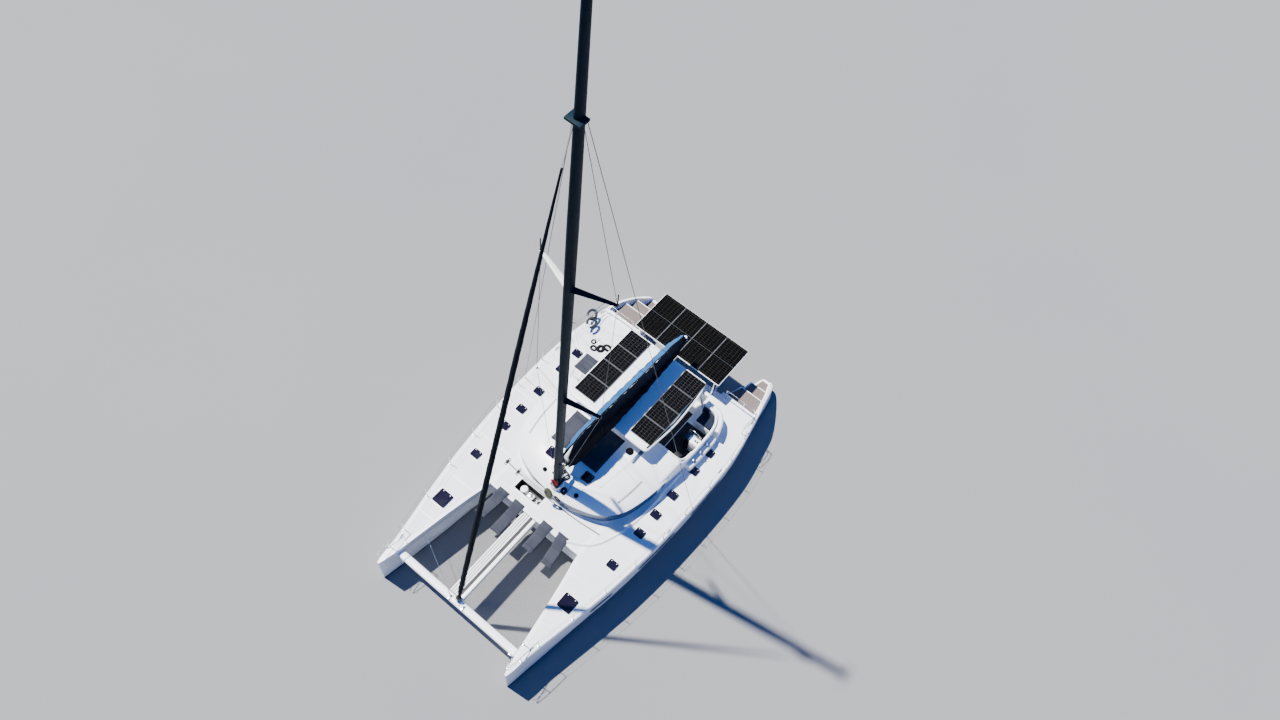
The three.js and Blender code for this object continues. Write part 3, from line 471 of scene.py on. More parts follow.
def prism(bm, outline, low, high, edge=0.0):
    """A plan outline raised from low to high. edge rounds its upper rim a little."""
    outline = np.array([list(p)[:2] for p in outline], float)
    middle = (outline.min(0) + outline.max(0)) / 2
    shrink = 1 - edge / (np.abs(outline - middle).max(0) + 1e-9)
    levels = [(low, 1.0), (high, 1.0)]
    if edge:
        levels = [(low, 1.0), (high - edge, 1.0), (high - 0.3 * edge, mix(shrink, 1, 0.7)), (high, shrink)]
    skin(bm, [[(*(middle + (p - middle) * share), z) for p in outline] for z, share in levels])


def ribbon(bm, line, across, up, edge=0.0):
    """A bar along a plan line, from across[0] to across[1] right of it and from up[0] to up[1] high."""
    (left, right), (low, high) = across, up
    rings = []
    for a, a_in, b_in, b in zip(*(offset(line, way) for way in (left, left + edge, right - edge, right))):
        top = [(*b, high), (*a, high)]
        if edge:
            top = [(*b, high - edge), (*b_in, high), (*a_in, high), (*a, high - edge)]
        rings.append([(*a, low), (*b, low), *top])
    skin(bm, rings)


def tube(bm, points, radius, sides=8):
    """A round bar through a row of points. The radius is one number, or one for each point."""
    points = [Vector(p) for p in points]
    radii = radius if hasattr(radius, "__len__") else [radius] * len(points)
    side, rings = None, []
    for i, (p, r) in enumerate(zip(points, radii)):
        ahead = (points[min(i + 1, len(points) - 1)] - points[max(i - 1, 0)]).normalized()
        side = ahead.orthogonal() if side is None else side - ahead * side.dot(ahead)
        side = side.normalized()
        other = ahead.cross(side)
        rings.append([p + (side * math.cos(t) + other * math.sin(t)) * r for t in angles(sides)])
    skin(bm, rings)


AXIS_TURN = {"Z": Matrix(), "Y": Matrix.Rotation(-math.pi / 2, 4, "X"),
             "X": Matrix.Rotation(math.pi / 2, 4, "Y")}


def disc(bm, centre, radius, height, sides=24, axis="Z", bevel=0.0, top=None):
    """A short round post from its centre outwards along an axis. top is the radius at its far end."""
    place = Matrix.Translation(centre) @ AXIS_TURN[axis] @ Matrix.Translation((0, 0, height / 2))
    made = bmesh.ops.create_cone(bm, segments=sides, radius1=radius, radius2=radius if top is None else top,
                                 depth=height, cap_ends=True, matrix=place)["verts"]
    if bevel:
        edges = {e for v in made for e in v.link_edges}
        round_edges(bm, [e for e in edges if e.calc_face_angle(0) > 0.8], bevel)


def ball(bm, centre, radius, squeeze=(1, 1, 1)):
    """A round knob, squeezed along each axis."""
    place = Matrix.Translation(centre) @ Matrix.Diagonal((*squeeze, 1))
    bmesh.ops.create_uvsphere(bm, u_segments=16, v_segments=10, radius=radius, matrix=place)


# %% Finished pieces
def piece(name, *parts, body="root", slot=None, replaces=(), angle=38):
    """Joins parts, each a bmesh and its material, into one piece that rides on a body."""
    whole = bmesh.new()
    mesh = bpy.data.meshes.new(name)
    for index, (part, finish) in enumerate(parts):
        for face in part.faces:
            face.material_index = index
            face.smooth = True
        for edge in part.edges:
            edge.smooth = len(edge.link_faces) == 2 and edge.calc_face_angle(4) < math.radians(angle)
        part.to_mesh(mesh)
        whole.from_mesh(mesh)
        part.free()
        mesh.materials.append(finish)
    whole.to_mesh(mesh)
    whole.free()
    print(name, "has", len(mesh.polygons), "faces")
    made = placed(name, mesh)
    if body:
        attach(made, body)
    if replaces:
        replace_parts(made, *replaces)
    return made


def settled(made):
    """Bakes a piece's modifiers into its mesh."""
    view = bpy.context.evaluated_depsgraph_get()
    mesh = bpy.data.meshes.new_from_object(made.evaluated_get(view))
    made.modifiers.clear()
    made.data = mesh
    return made


def carved(bm, cutter):
    """A shape with another one cut out of it."""
    objects = []
    for shape in (bm, cutter):
        mesh = bpy.data.meshes.new("shape")
        shape.to_mesh(mesh)
        shape.free()
        objects.append(placed("shape", mesh))
    cut = objects[0].modifiers.new("cut", "BOOLEAN")
    cut.object, cut.operation, cut.solver = objects[1], "DIFFERENCE", "EXACT"
    rest = bmesh.new()
    rest.from_mesh(settled(objects[0]).data)
    for used in objects:
        bpy.data.objects.remove(used)
    return rest


def mirrored(bm):
    """A copy on the other side of the centreline."""
    other = bm.copy()
    bmesh.ops.scale(other, vec=(-1, 1, 1), verts=other.verts)
    bmesh.ops.reverse_faces(other, faces=other.faces)
    return other


SIDES = (("port", 1), ("starboard", -1))


def pair(stem, *parts, node=None, body=None, **rest):
    """A piece for each side: the port one as it is drawn, the starboard one mirrored."""
    for side, sign in SIDES:
        if body:
            rest["body"] = f"{body}_{side}"
        if node:
            rest["replaces"] = [f"{node}_{side}"]
        piece(f"{stem}_{side}", *((bm.copy() if sign > 0 else mirrored(bm), finish) for bm, finish in parts),
              **rest)
    for bm, _ in parts:
        bm.free()


# %% [markdown]
# ## Hulls
# A catamaran's hull is deep and narrow, with a flare above the waterline that gives room. It is
# wrapped over sections like a boat's own lines plan: seventeen stations along it are drawn, and a
# smooth curve gives the rest. The stern steps and the wells under the hatches are then cut out of it.
# Long dark panes are laid on the outer sides, where a ray finds the hull's skin.

# %% Hull lines
DECK, HULL_CENTRE = 1.8, 3.125
# y, inner deck edge, outer deck edge, deck height, half breadth at the waterline, depth below it
HULL_STATIONS = [
    (-8.00, 3.08, 3.16, 1.80, 0.015, 0.03),
    (-7.65, 2.99, 3.24, 1.80, 0.08, 0.26),
    (-7.00, 2.87, 3.32, 1.80, 0.18, 0.40),
    (-6.00, 2.71, 3.52, 1.80, 0.33, 0.52),
    (-5.00, 2.55, 3.72, 1.80, 0.46, 0.60),
    (-4.00, 2.37, 3.90, 1.80, 0.57, 0.66),
    (-3.05, 2.20, 4.055, 1.80, 0.65, 0.70),
    (-1.50, 2.20, 4.23, 1.80, 0.73, 0.73),
    (0.00, 2.20, 4.34, 1.80, 0.77, 0.74),
    (2.00, 2.20, 4.40, 1.80, 0.79, 0.72),
    (4.00, 2.20, 4.34, 1.80, 0.77, 0.65),
    (5.90, 2.20, 4.02, 1.80, 0.70, 0.50),
    (6.60, 2.48, 3.87, 1.74, 0.66, 0.42),
    (7.40, 2.65, 3.69, 1.33, 0.59, 0.31),
    (8.05, 2.76, 3.54, 0.85, 0.47, 0.20),
    (8.35, 2.85, 3.40, 0.64, 0.33, 0.15),
    (8.45, 2.96, 3.26, 0.57, 0.18, 0.11),
]
# Stern steps: first y, last y, outer edge at each, tread height
STERN_STEPS = [
    (6.05, 6.96, 3.85, 3.66, 1.45),
    (6.95, 7.61, 3.66, 3.51, 1.10),
    (7.60, 8.60, 3.51, 3.18, 0.45),
]
GUNWALE, WELL_SIDE = 0.07, 2.2
# shares of the deck's height at which the topsides knuckle and flare out
KNUCKLE, FLARE = 0.42, 0.23
# round the bottom: shares of the half breadth and of the depth
BILGE = [(0.82, 0.5), (0.45, 0.86), (0, 1), (-0.45, 0.86), (-0.82, 0.5)]
stations = smooth_line(HULL_STATIONS, 4)
stations[:, 1] = np.maximum(stations[:, 1], WELL_SIDE)
stations[:, 3] = np.minimum(stations[:, 3], DECK)


def deck_edge(y, column=2):
    """The deck's outer edge at y, or its inner edge with column 1."""
    return float(np.interp(y, stations[:, 0], stations[:, column]))


def hull_ring(row):
    """One section: across the deck, down the outside, round the bottom and up the inside."""
    y, inner, outer, deck, half, depth = row
    bevel = min(GUNWALE, 0.1 * (outer - inner))
    line_out, line_in = HULL_CENTRE + half, HULL_CENTRE - half
    line = [(outer, deck - bevel), (mix(line_out, outer, 0.9), KNUCKLE * deck),
            (mix(line_out, outer, 0.35), FLARE * deck), (line_out, 0),
            *((HULL_CENTRE + across * half, -down * depth) for across, down in BILGE),
            (line_in, 0), (mix(line_in, inner, 0.35), FLARE * deck), (inner, KNUCKLE * deck),
            (inner, deck)]
    curve = [(outer - bevel, deck), (outer - 0.3 * bevel, deck - 0.3 * bevel), *smooth_line(line, 3)]
    return [(x, y, z) for x, z in curve]


# %% Hatch places
# name, distance from the centreline, y, width, length
DECK_HATCHES = [
    ("bow", 3.11, -4.69, 0.6, 0.6), ("fore", 3.43, -2.54, 0.4, 0.35), ("side_1", 3.43, -0.92, 0.4, 0.35),
    ("side_2", 3.43, 0.05, 0.4, 0.35), ("side_3", 3.44, 1.1, 0.4, 0.35), ("side_4", 3.44, 2.45, 0.4, 0.35),
    ("aft", 3.44, 3.46, 0.4, 0.35),
]
ROOF_HATCHES = [("roof_port", 0.76, -0.865, 0.42, 0.4), ("roof_starboard", -0.93, -0.95, 0.42, 0.4)]
HATCH_FRAME, HATCH_RISE, HATCH_WELL = 0.04, 0.022, 0.06


def plate(bm, x, y, width, length, low, high, corner, bevel=0.0):
    """A plate with rounded corners."""
    w, l = width / 2 - corner, length / 2 - corner
    turns = [(sx, sy, start + k * math.pi / 8) for sx, sy, start in
             ((1, 1, 0), (-1, 1, math.pi / 2), (-1, -1, math.pi), (1, -1, 1.5 * math.pi)) for k in range(5)]
    ring = [(x + sx * w + corner * math.cos(t), y + sy * l + corner * math.sin(t)) for sx, sy, t in turns]
    prism(bm, ring, low, high, bevel)


def hatch_well(bm, x, y, width, length, seat):
    """The hole under a lid, as a cutter."""
    inner = 2 * HATCH_FRAME
    plate(bm, x, y, width - inner, length - inner, seat - HATCH_WELL, seat + 0.1, 0.03)


# %% Hulls, keels and stern steps
def hull_shape():
    shell = bmesh.new()
    skin(shell, [hull_ring(row) for row in stations])
    for first, last, edge_first, edge_last, tread in STERN_STEPS:
        cutter = bmesh.new()
        line = [(2.0, first), (edge_first, first), (edge_last, last), (2.0, last)]
        skin(cutter, [[(x, y, z) for x, y in line] for z in (tread, DECK + 0.4)])
        shell = carved(shell, cutter)
    wells = bmesh.new()
    for _, *place in DECK_HATCHES:
        hatch_well(wells, *place, DECK)
    return carved(shell, wells)


# z, first y, last y, half thickness
KEEL_LEVELS = [(-0.56, -1.0, 1.9, 0.15), (-0.95, -0.85, 1.7, 0.13), (-1.33, -0.7, 1.5, 0.1),
               (-1.35, -0.65, 1.45, 0.06)]
RUDDER_Y, RUDDER_BOSS = 6.65, 0.07


def keel_shape():
    """The low keel, and the boss that carries the rudder's stock."""
    bm = bmesh.new()
    skin(bm, [[(HULL_CENTRE + half * math.cos(t), mix(front, aft, 0.5 - 0.5 * math.sin(t)), z)
               for t in angles(32)] for z, front, aft, half in smooth_line(KEEL_LEVELS, 3)])
    disc(bm, (HULL_CENTRE, RUDDER_Y, -0.52), RUDDER_BOSS, 0.22)
    return bm


def hatch_frames(holes, seat):
    """The raised frames that the lids close on."""
    rims, wells = shapes(2)
    for _, *place in holes:
        plate(rims, *place, seat - 0.004, seat + HATCH_RISE, 0.06, 0.006)
        hatch_well(wells, *place, seat)
    return carved(rims, wells)


hull = hull_shape()
hull_tree = BVHTree.FromBMesh(hull)
pair("hull_shell", (hull, hull_gelcoat), node="hull", slot="gelcoat", angle=30)
pair("keel_fin", (keel_shape(), hull_gelcoat), slot="gelcoat")
pair("hatch_frames", (hatch_frames(DECK_HATCHES, DECK), frame_alloy), slot="stainless")
print("hull sections:", len(stations))


# %% Hull windows
def hull_window(bm, first, last, low, high):
    """A pane of dark glass laid on the hull's outer side."""
    rings = []
    for y in np.linspace(first, last, 13):
        end = min(y - first, last - y) / 0.12
        rise = (high - low) / 2 * (min(1, end) ** 0.5 * 0.9 + 0.1)
        ring = []
        for z in np.linspace((low + high) / 2 - rise, (low + high) / 2 + rise, 5):
            hit = hull_tree.ray_cast(Vector((6, y, z)), Vector((-1, 0, 0)))[0]
            ring.append((hit.x + 0.006, y, z))
        rings.append([*ring, *[(x - 0.03, y, z) for x, y, z in reversed(ring)]])
    skin(bm, rings)


panes = bmesh.new()
# first y, last y, lower edge, upper edge
for place in ((-4.3, -3.2, 1.12, 1.42), (-1.9, 0.2, 1.08, 1.42), (1.1, 3.1, 1.08, 1.42)):
    hull_window(panes, *place)
pair("hull_windows", (panes, window_glass))

# %% [markdown]
# ## Grip on the decks
# Walking areas are moulded as panels with smooth margins between them, for drainage. Each panel here
# follows the deck's own edges and stops short of the hatches.

# %% Grip panels
GRIP_STOPS = [-7.3, -5.55, -3.75, -1.75, 0.6, 2.9, 5.75]
GRIP_GAP, GRIP_MARGIN, GRIP_RISE, GRIP_SUNK = 0.05, 0.13, 0.0025, 0.001


def grip_panels():
    panels, cutter = shapes(2)
    for first, last in zip(GRIP_STOPS, GRIP_STOPS[1:]):
        ys = np.linspace(first + GRIP_GAP / 2, last - GRIP_GAP / 2, 9)
        inner = [(deck_edge(y, 1) + GRIP_MARGIN * (0.6 if y > -3 else 1), y) for y in ys]
        outer = [(deck_edge(y) - GRIP_MARGIN, y) for y in ys]
        skin(panels, [[(*a, DECK - GRIP_SUNK), (*b, DECK - GRIP_SUNK), (*b, DECK + GRIP_RISE),
                       (*a, DECK + GRIP_RISE)] for a, b in zip(inner, outer)])
    for _, x, y, width, length in DECK_HATCHES:
        plate(cutter, x, y, width + 0.12, length + 0.12, DECK - 0.1, DECK + 0.1, 0.08)
    return carved(panels, cutter)


pair("deck_grip", (grip_panels(), grip), slot="gelcoat")

# %% [markdown]
# ## Stern steps
# The treads are planked in weathered wood, each laid as a thin board with a margin round it.

# %% Treads
treads = bmesh.new()
for first, last, edge_first, edge_last, height in STERN_STEPS:
    last = min(last, 8.38)
    inner_edges = [deck_edge(y, 1) + 0.07 for y in (first + 0.06, last - 0.05)]
    outer_edges = [mix(edge_first, edge_last, share) - 0.06 for share in (0.06, 0.94 if last < 8 else 0.72)]
    ends = list(zip((first + 0.06, last - 0.05), inner_edges, outer_edges))
    skin(treads, [[(a, y, height), (b, y, height), (b, y, height + 0.012), (a, y, height + 0.012)]
                  for y, a, b in ends])
pair("stern_treads", (treads, planks))

# %% [markdown]
# ## Saloon cabin
# The cabin is a moulded shell with upright sides, a brow over the windows and a roof that curves in
# to a flat top. Rings of its plan outline, each a little smaller and higher, give that shape. A
# Solidify modifier turns the skin into a wall, and the windows and the doorway are cut through it.
# Outside, one band of tinted glass covers the windows, and a glass leaf closes the doorway.

# %% Cabin lines
ROOF, SOLE, CABIN_AFT, CABIN_WALL, CABIN_STEPS = 2.9, 0.9, 2.05, 0.07, 6
CABIN_HALF = [(0, -2.05), (1.0, -1.93), (1.93, -1.57), (2.43, -1.07), (2.71, -0.43), (2.93, 0.71),
              (2.96, 2.05)]
cabin_points = [(-x, y) for x, y in reversed(CABIN_HALF[1:])] + CABIN_HALF
cabin_line = smooth_line(cabin_points, CABIN_STEPS)
# z, share of the breadth, share of the length
ROOF_LEVELS = [(2.475, 1.012, 1.01), (2.56, 0.96, 0.985), (2.68, 0.86, 0.945), (2.8, 0.72, 0.88),
               (ROOF, 0.52, 0.8)]
WINDOW_LOW, WINDOW_HIGH, WINDOW_POST = 1.96, 2.35, 0.035
DOOR_X, DOOR_SILL, DOOR_TOP = (-0.6, 0.4), 0.95, 2.7
HATCHWAY_X, HATCHWAY_Z = (-1.85, -0.8), (1.9, 2.5)


def cabin_ring(z, breadth, length):
    return [(x * breadth, CABIN_AFT - (CABIN_AFT - y) * length, z) for x, y in cabin_line]


# %% Cabin shell
cabin_levels = [(DECK, 1, 1), (2.45, 1, 1), *smooth_line(ROOF_LEVELS, 4)]


def cabin_skin():
    """The outside of the cabin without its aft wall."""
    bm = bmesh.new()
    skin(bm, [cabin_ring(*level) for level in cabin_levels], closed=False)
    rim = [v for v in bm.verts if v.co.z > ROOF - 0.001]
    top = bmesh.ops.contextual_create(bm, geom=rim)["faces"]
    bmesh.ops.triangulate(bm, faces=top)
    bmesh.ops.recalc_face_normals(bm, faces=bm.faces)
    return bm


def cabin_aft_wall():
    """The wall with the doorway and the serving hatchway."""
    bm = bmesh.new()
    half = [(CABIN_HALF[-1][0] * breadth - 0.012, z) for z, breadth, _ in cabin_levels]
    outline = [*half, *[(-x, z) for x, z in reversed(half)]]
    skin(bm, [[(x, y, min(z, ROOF - 0.01)) for x, z in outline]
              for y in (CABIN_AFT - CABIN_WALL, CABIN_AFT - 0.001)])
    for (x0, x1), (z0, z1) in ((DOOR_X, (DECK - 0.2, DOOR_TOP)), (HATCHWAY_X, HATCHWAY_Z)):
        cutter = bmesh.new()
        slab(cutter, (x0, 1.9, z0), (x1, 2.2, z1))
        bm = carved(bm, cutter)
    return bm


def cabin_cutters():
    """A cutter for each window and each roof hatch."""
    for first in range(0, CABIN_STEPS * (len(cabin_points) - 2), CABIN_STEPS):
        steps = np.linspace(first, first + CABIN_STEPS, CABIN_STEPS)
        pane = np.stack([np.interp(steps, range(len(cabin_line)), cabin_line[:, k]) for k in (0, 1)], 1)
        for end, near in ((0, 1), (-1, -2)):
            way = pane[near] - pane[end]
            pane[end] += way / np.linalg.norm(way) * WINDOW_POST
        cutter = bmesh.new()
        ribbon(cutter, pane, (-0.11, 0.1), (WINDOW_LOW, WINDOW_HIGH))
        yield cutter
    for _, x, y, width, length in ROOF_HATCHES:
        cutter = bmesh.new()
        plate(cutter, x, y, width - 2 * HATCH_FRAME, length - 2 * HATCH_FRAME, ROOF - 0.2, ROOF + 0.1,
              0.03)
        yield cutter


roof_skin = cabin_skin()
roof_tree = BVHTree.FromBMesh(roof_skin)
shell = piece("cabin_skin", (roof_skin, gelcoat), body=None)
wall = shell.modifiers.new("wall", "SOLIDIFY")
wall.thickness, wall.offset = CABIN_WALL, -1
solid_cabin = bmesh.new()
solid_cabin.from_mesh(settled(shell).data)
bpy.data.objects.remove(shell)
for opening in cabin_cutters():
    solid_cabin = carved(solid_cabin, opening)
print("cabin shell:", len(solid_cabin.faces), "faces")
for left, right in ((-1.9, DOOR_X[0]), (DOOR_X[1], 1.9)):
    slab(solid_cabin, (left, CABIN_AFT - CABIN_WALL, SOLE), (right, CABIN_AFT, DECK + 0.02))
slab(solid_cabin, (-0.62, 1.98, SOLE), (1.48, 2.09, DOOR_SILL), 0.008)
disc(solid_cabin, (0, -1.72, 2.5), 0.26, 0.37, 40, bevel=0.03)
piece("saloon_shell", (solid_cabin, gelcoat), (hatch_frames(ROOF_HATCHES, ROOF), frame_alloy),
      (cabin_aft_wall(), gelcoat), slot="gelcoat", replaces=["saloon_cabin"], angle=32)


def roof_height(x, y):
    """Height of the cabin's skin above a point of the deck plan."""
    hit = roof_tree.ray_cast(Vector((x, y, 9)), Vector((0, 0, -1)))[0]
    return hit.z if hit else DECK


# %% Window band and door
GLASS = (WINDOW_LOW - 0.08, WINDOW_HIGH + 0.09)
bm, seal = shapes(2)
band = [p for p in cabin_line if not (p[0] > 0 and p[1] > 0.72) and p[1] < 1.91]
ribbon(bm, band, (0.0003, 0.0123), GLASS, 0.003)
for height in (GLASS[0] - 0.005, GLASS[1]):
    ribbon(seal, band, (-0.002, 0.010), (height, height + 0.008), 0.002)
piece("window_band", (bm, window_glass), slot="window_glass", replaces=["saloon_windows"])
piece("window_seals", (seal, black_plastic))

low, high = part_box("saloon_door")
pane, rim = shapes(2)
STILE = 0.055
slab(pane, (low.x + STILE / 2, low.y + 0.01, low.z + STILE / 2),
     (high.x - STILE / 2, high.y - 0.01, high.z - STILE / 2))
for x0, x1, z0, z1 in ((low.x, low.x + STILE, low.z, high.z), (high.x - STILE, high.x, low.z, high.z),
                       (low.x, high.x, low.z, low.z + STILE), (low.x, high.x, high.z - STILE, high.z)):
    slab(rim, (x0, low.y, z0), (x1, high.y, z1), 0.006)
tube(rim, [(low.x + 0.03, high.y - 0.004, 1.75), (low.x + 0.03, high.y - 0.004, 2.05)], 0.011)
piece("door_leaf", (pane, window_glass), (rim, black_plastic), body="saloon_door", slot="window_glass",
      replaces=["saloon_door"])

# %% [markdown]
# ## Fairing beside the helm
# Ahead of the helm the port side of the roof is carried out to the coaming, so that spray runs past.
# Two sections, one low and one high, are joined by a smooth skin. A small window is let into its
# side, and another into the roof beside it.

# %% Fairing
FAIRING_FRONT = [(1.95, DECK), (2.92, DECK), (2.925, 2.43), (2.70, 2.56), (1.95, 2.78)]
FAIRING_AFT = [(1.95, DECK), (3.05, DECK), (3.04, 2.60), (2.85, 2.79), (1.95, 2.895)]


def fairing_ring(share):
    section = [(mix(a[0], b[0], share), mix(a[1], b[1], share)) for a, b in zip(FAIRING_FRONT, FAIRING_AFT)]
    y = mix(0.72, 2.05, share)
    return [(x, y, z) for x, z in (section[0], *smooth_line(section[1:], 3))]


fairing, windows = shapes(2)
skin(fairing, [fairing_ring(0.5 - 0.5 * math.cos(math.pi * k / 8)) for k in range(9)])
piece("helm_fairing", (fairing, gelcoat), slot="gelcoat", angle=50)
slab(windows, (2.955, 0.95, 2.02), (2.975, 1.4, 2.3), 0.006)
slab(windows, (1.55, 0.7, 2.868), (1.70, 1.35, 2.905), 0.01)
piece("fairing_windows", (windows, window_glass))

# %% [markdown]
# ## What lies on the cabin roof
# Moulding seams, handrails, five round vents, the largest on its pad, and the low step round the
# cabin's foot. Seams, rails and vents take their height from a ray cast down on the roof's skin.


# %% Roof fittings
def on_roof(line, lift):
    """Points of a plan line laid on the roof and lifted a little."""
    return [(x, y, roof_height(x, y) + lift) for x, y in smooth_line(line, 6)]


seams = bmesh.new()
for line in ([(1.35, -0.9), (1.48, -0.1), (1.6, 0.7)], [(-1.35, -0.9), (-1.5, 0.1), (-1.55, 1.9)],
             [(-1.45, -0.78), (0, -1.2), (1.45, -0.78)]):
    tube(seams, on_roof(line, 0.0), 0.005, 6)
piece("roof_seams", (seams, pad_grey))

rails = bmesh.new()
for line in ([(2.2, -0.8), (2.3, -0.2), (2.35, 0.4)], [(-2.2, -0.8), (-2.32, 0.0), (-2.36, 0.9)]):
    tube(rails, on_roof(line, 0.055), 0.012, 10)
    for x, y in (line[0], line[1], line[-1]):
        disc(rails, (x, y, roof_height(x, y) - 0.01), 0.012, 0.065, 12)
piece("roof_handrails", (rails, black_plastic))

# x, y, radius, the first one on the pad
VENTS = [(1.28, 1.0, 0.15), (0.15, 1.75, 0.07), (-0.25, 1.75, 0.07), (-0.72, -1.6, 0.085),
         (0.86, -1.64, 0.085)]
vent_pad, vent = shapes(2)
plate(vent_pad, *VENTS[0][:2], 0.55, 0.55, 2.88, 2.915, 0.08, 0.01)
for x, y, radius in VENTS:
    z = roof_height(x, y) - 0.01
    disc(vent, (x, y, z), radius, 0.08, 32, bevel=0.02)
    disc(vent, (x, y, z + 0.08), radius * 0.45, 0.012, 24, bevel=0.004)
piece("roof_vents", (vent, vent_black), (vent_pad, gelcoat))

STEP_LINE = [(1.55, -2.95), (2.35, -2.45), (2.78, -1.6), (3.02, -0.6), (3.1, 0.7), (3.13, 1.95)]
step = bmesh.new()
ribbon(step, smooth_line(STEP_LINE, 6), (-0.06, 0.06), (DECK - 0.002, DECK + 0.075), 0.045)
piece("deck_step", (step, gelcoat))

# %% [markdown]
# ## Foredeck of the bridge
# The part of the deck between the hulls has its own grip panel round the anchor locker, a nosing
# along its front edge and the curved track of the small headsail. The locker holds the windlass.

# %% Bridge foredeck, track and windlass
LOCKER_MIDDLE = (-0.8, -2.375)
LOCKER_X, LOCKER_Y, LOCKER_FLOOR, LOCKER_RIM = (-1.4, -0.2), (-2.6, -2.15), 1.3, 1.79
SHADE_BOX_WALL, LINKS = 0.005, 56
grip_bm, cabin_cutter, locker_cutter = shapes(3)
slab(grip_bm, (-2.1, -2.98, DECK - GRIP_SUNK), (2.1, -1.3, DECK + GRIP_RISE))
prism(cabin_cutter, offset(cabin_line[6:-6], 0.09), DECK - 0.1, DECK + 0.1)
plate(locker_cutter, *LOCKER_MIDDLE, 1.42, 0.68, DECK - 0.1, DECK + 0.1, 0.03)
piece("bridge_grip", (carved(carved(grip_bm, cabin_cutter), locker_cutter), grip), slot="gelcoat")

nosing, track, car = shapes(3)
slab(nosing, (-2.19, -3.075, 1.68), (2.19, -3.03, 1.765), 0.02, 3)
piece("bridge_nosing", (nosing, gelcoat))
track_points = smooth_line([(-2.38, -1.99), (-1.2, -2.085), (0, -2.12), (1.2, -2.08), (2.31, -1.96)], 7)
ribbon(track, track_points, (-0.02, 0.02), (DECK + 0.012, DECK + 0.045), 0.006)
for x, y in track_points[::5]:
    disc(track, (x, y, DECK), 0.022, 0.02, 12)
for x, y in ((-2.3, -1.995), (-1.7, -2.045)):
    slab(car, (x - 0.04, y - 0.07, DECK + 0.04), (x + 0.04, y + 0.07, DECK + 0.075), 0.01)
    tube(car, [(x, y - 0.16, DECK + 0.085), (x, y + 0.16, DECK + 0.085)], 0.018, 10)
piece("headsail_track", (track, stay_wire), (car, black_plastic))

body_bm, gypsy, links, shade_box = shapes(4)
x, y = LOCKER_MIDDLE
disc(body_bm, (x - 0.3, y + 0.02, 1.306), 0.18, 0.34, 40, bevel=0.05, top=0.15)
slab(body_bm, (x - 0.1, y - 0.12, 1.306), (x + 0.2, y + 0.1, 1.52), 0.03, 3)
disc(gypsy, (x + 0.05, y, 1.52), 0.075, 0.03, 28, bevel=0.008)
disc(gypsy, (x + 0.05, y, 1.55), 0.05, 0.035, 28, bevel=0.008, top=0.065)
(x0, x1), (y0, y1) = LOCKER_X, LOCKER_Y
# The locker is lined with thin dark walls and a dark floor: painted shade inside the locker.
slab(shade_box, (x0, y0, LOCKER_FLOOR), (x1, y1, LOCKER_FLOOR + SHADE_BOX_WALL))
for x_low, x_high, y_low, y_high in ((x0, x0 + SHADE_BOX_WALL, y0, y1), (x1 - SHADE_BOX_WALL, x1, y0, y1),
                                     (x0, x1, y0, y0 + SHADE_BOX_WALL), (x0, x1, y1 - SHADE_BOX_WALL, y1)):
    slab(shade_box, (x_low, y_low, LOCKER_FLOOR), (x_high, y_high, LOCKER_RIM))
for k in range(LINKS):
    turn, reach = k * 0.45, 0.07 + 0.11 * abs(math.sin(k * 1.7))
    place = Matrix.Translation((x + 0.42 + reach * math.cos(turn), y + reach * math.sin(turn) * 0.9,
                                LOCKER_FLOOR + 0.01 + 0.0013 * k))
    spun = place @ Matrix.Rotation(turn + 1.57, 4, "Z") @ Matrix.Rotation(math.pi / 2 * (k % 2), 4, "Y")
    bmesh.ops.create_cube(links, size=1, matrix=spun @ Matrix.Diagonal((0.026, 0.045, 0.011, 1)))
piece("windlass", (body_bm, gelcoat), (gypsy, steel), (links, frame_alloy))
piece("locker_liner", (shade_box, black_plastic))

# %% [markdown]
# ## Anchor locker lid
# It stands open on its aft hinge. The lid is drawn closed, with four stiffening ribs and dark strips
# on its underside, and then turned up about the hinge like the real one.

# %% Locker lid
(LID_LEFT, LID_RIGHT), LID_DEPTH, LID_HALF, LID_OPEN = (-1.43, -0.17), 0.51, 0.015, 95
lid, stripes = shapes(2)
slab(lid, (LID_LEFT, -LID_DEPTH, -LID_HALF), (LID_RIGHT, 0.0, LID_HALF), 0.012, 3)
for bm, width, depth, edge, places in ((lid, 0.03, 0.018, 0.006, (-0.45, -0.34, -0.23, -0.12)),
                                       (stripes, 0.022, 0.004, 0, (-0.40, -0.29, -0.18, -0.075))):
    for y in places:
        slab(bm, (LID_LEFT + 0.06, y, -LID_HALF - depth),
             (LID_RIGHT - 0.06, y + width, -LID_HALF + 0.004), edge)
disc(lid, (LID_LEFT, 0, 0), LID_HALF, LID_RIGHT - LID_LEFT, 20, axis="X")
LID_HINGE = (0, -2.12, 1.8153)
hinge = Matrix.Translation(LID_HINGE) @ Matrix.Rotation(math.radians(-LID_OPEN), 4, "X")
for shape in (lid, stripes):
    bmesh.ops.transform(shape, matrix=hinge, verts=shape.verts)
piece("locker_lid", (lid, gelcoat), (stripes, pad_dark), body="anchor_locker_lid", slot="gelcoat",
      replaces=["anchor_locker_lid"])

# %% [markdown]
# ## Hatch lids
# Smoked acrylic plates with eased edges, two low handles and a hinge along the forward edge. Every
# lid rides on its own body, so it opens by itself.


# %% Lids
def hatch_lid(name, x, y, width, length, seat):
    acrylic, metal = shapes(2)
    low = seat + HATCH_RISE + 0.0003
    plate(acrylic, x, y, width, length, low, low + 0.026, 0.06, 0.009)
    front = y - length / 2
    for off in (-0.28, 0.28):
        disc(metal, (x + off * width - 0.03, front + 0.008, low + 0.013), 0.0075, 0.06, 14, axis="X")
        disc(metal, (x + off * width, y + length / 2 - 0.06, low + 0.025), 0.016, 0.006, 16, bevel=0.002)
    piece(f"{name}_lid", (acrylic, hatch_acrylic), (metal, frame_alloy), body=name, slot="hatch_glass",
          replaces=[name], angle=18)


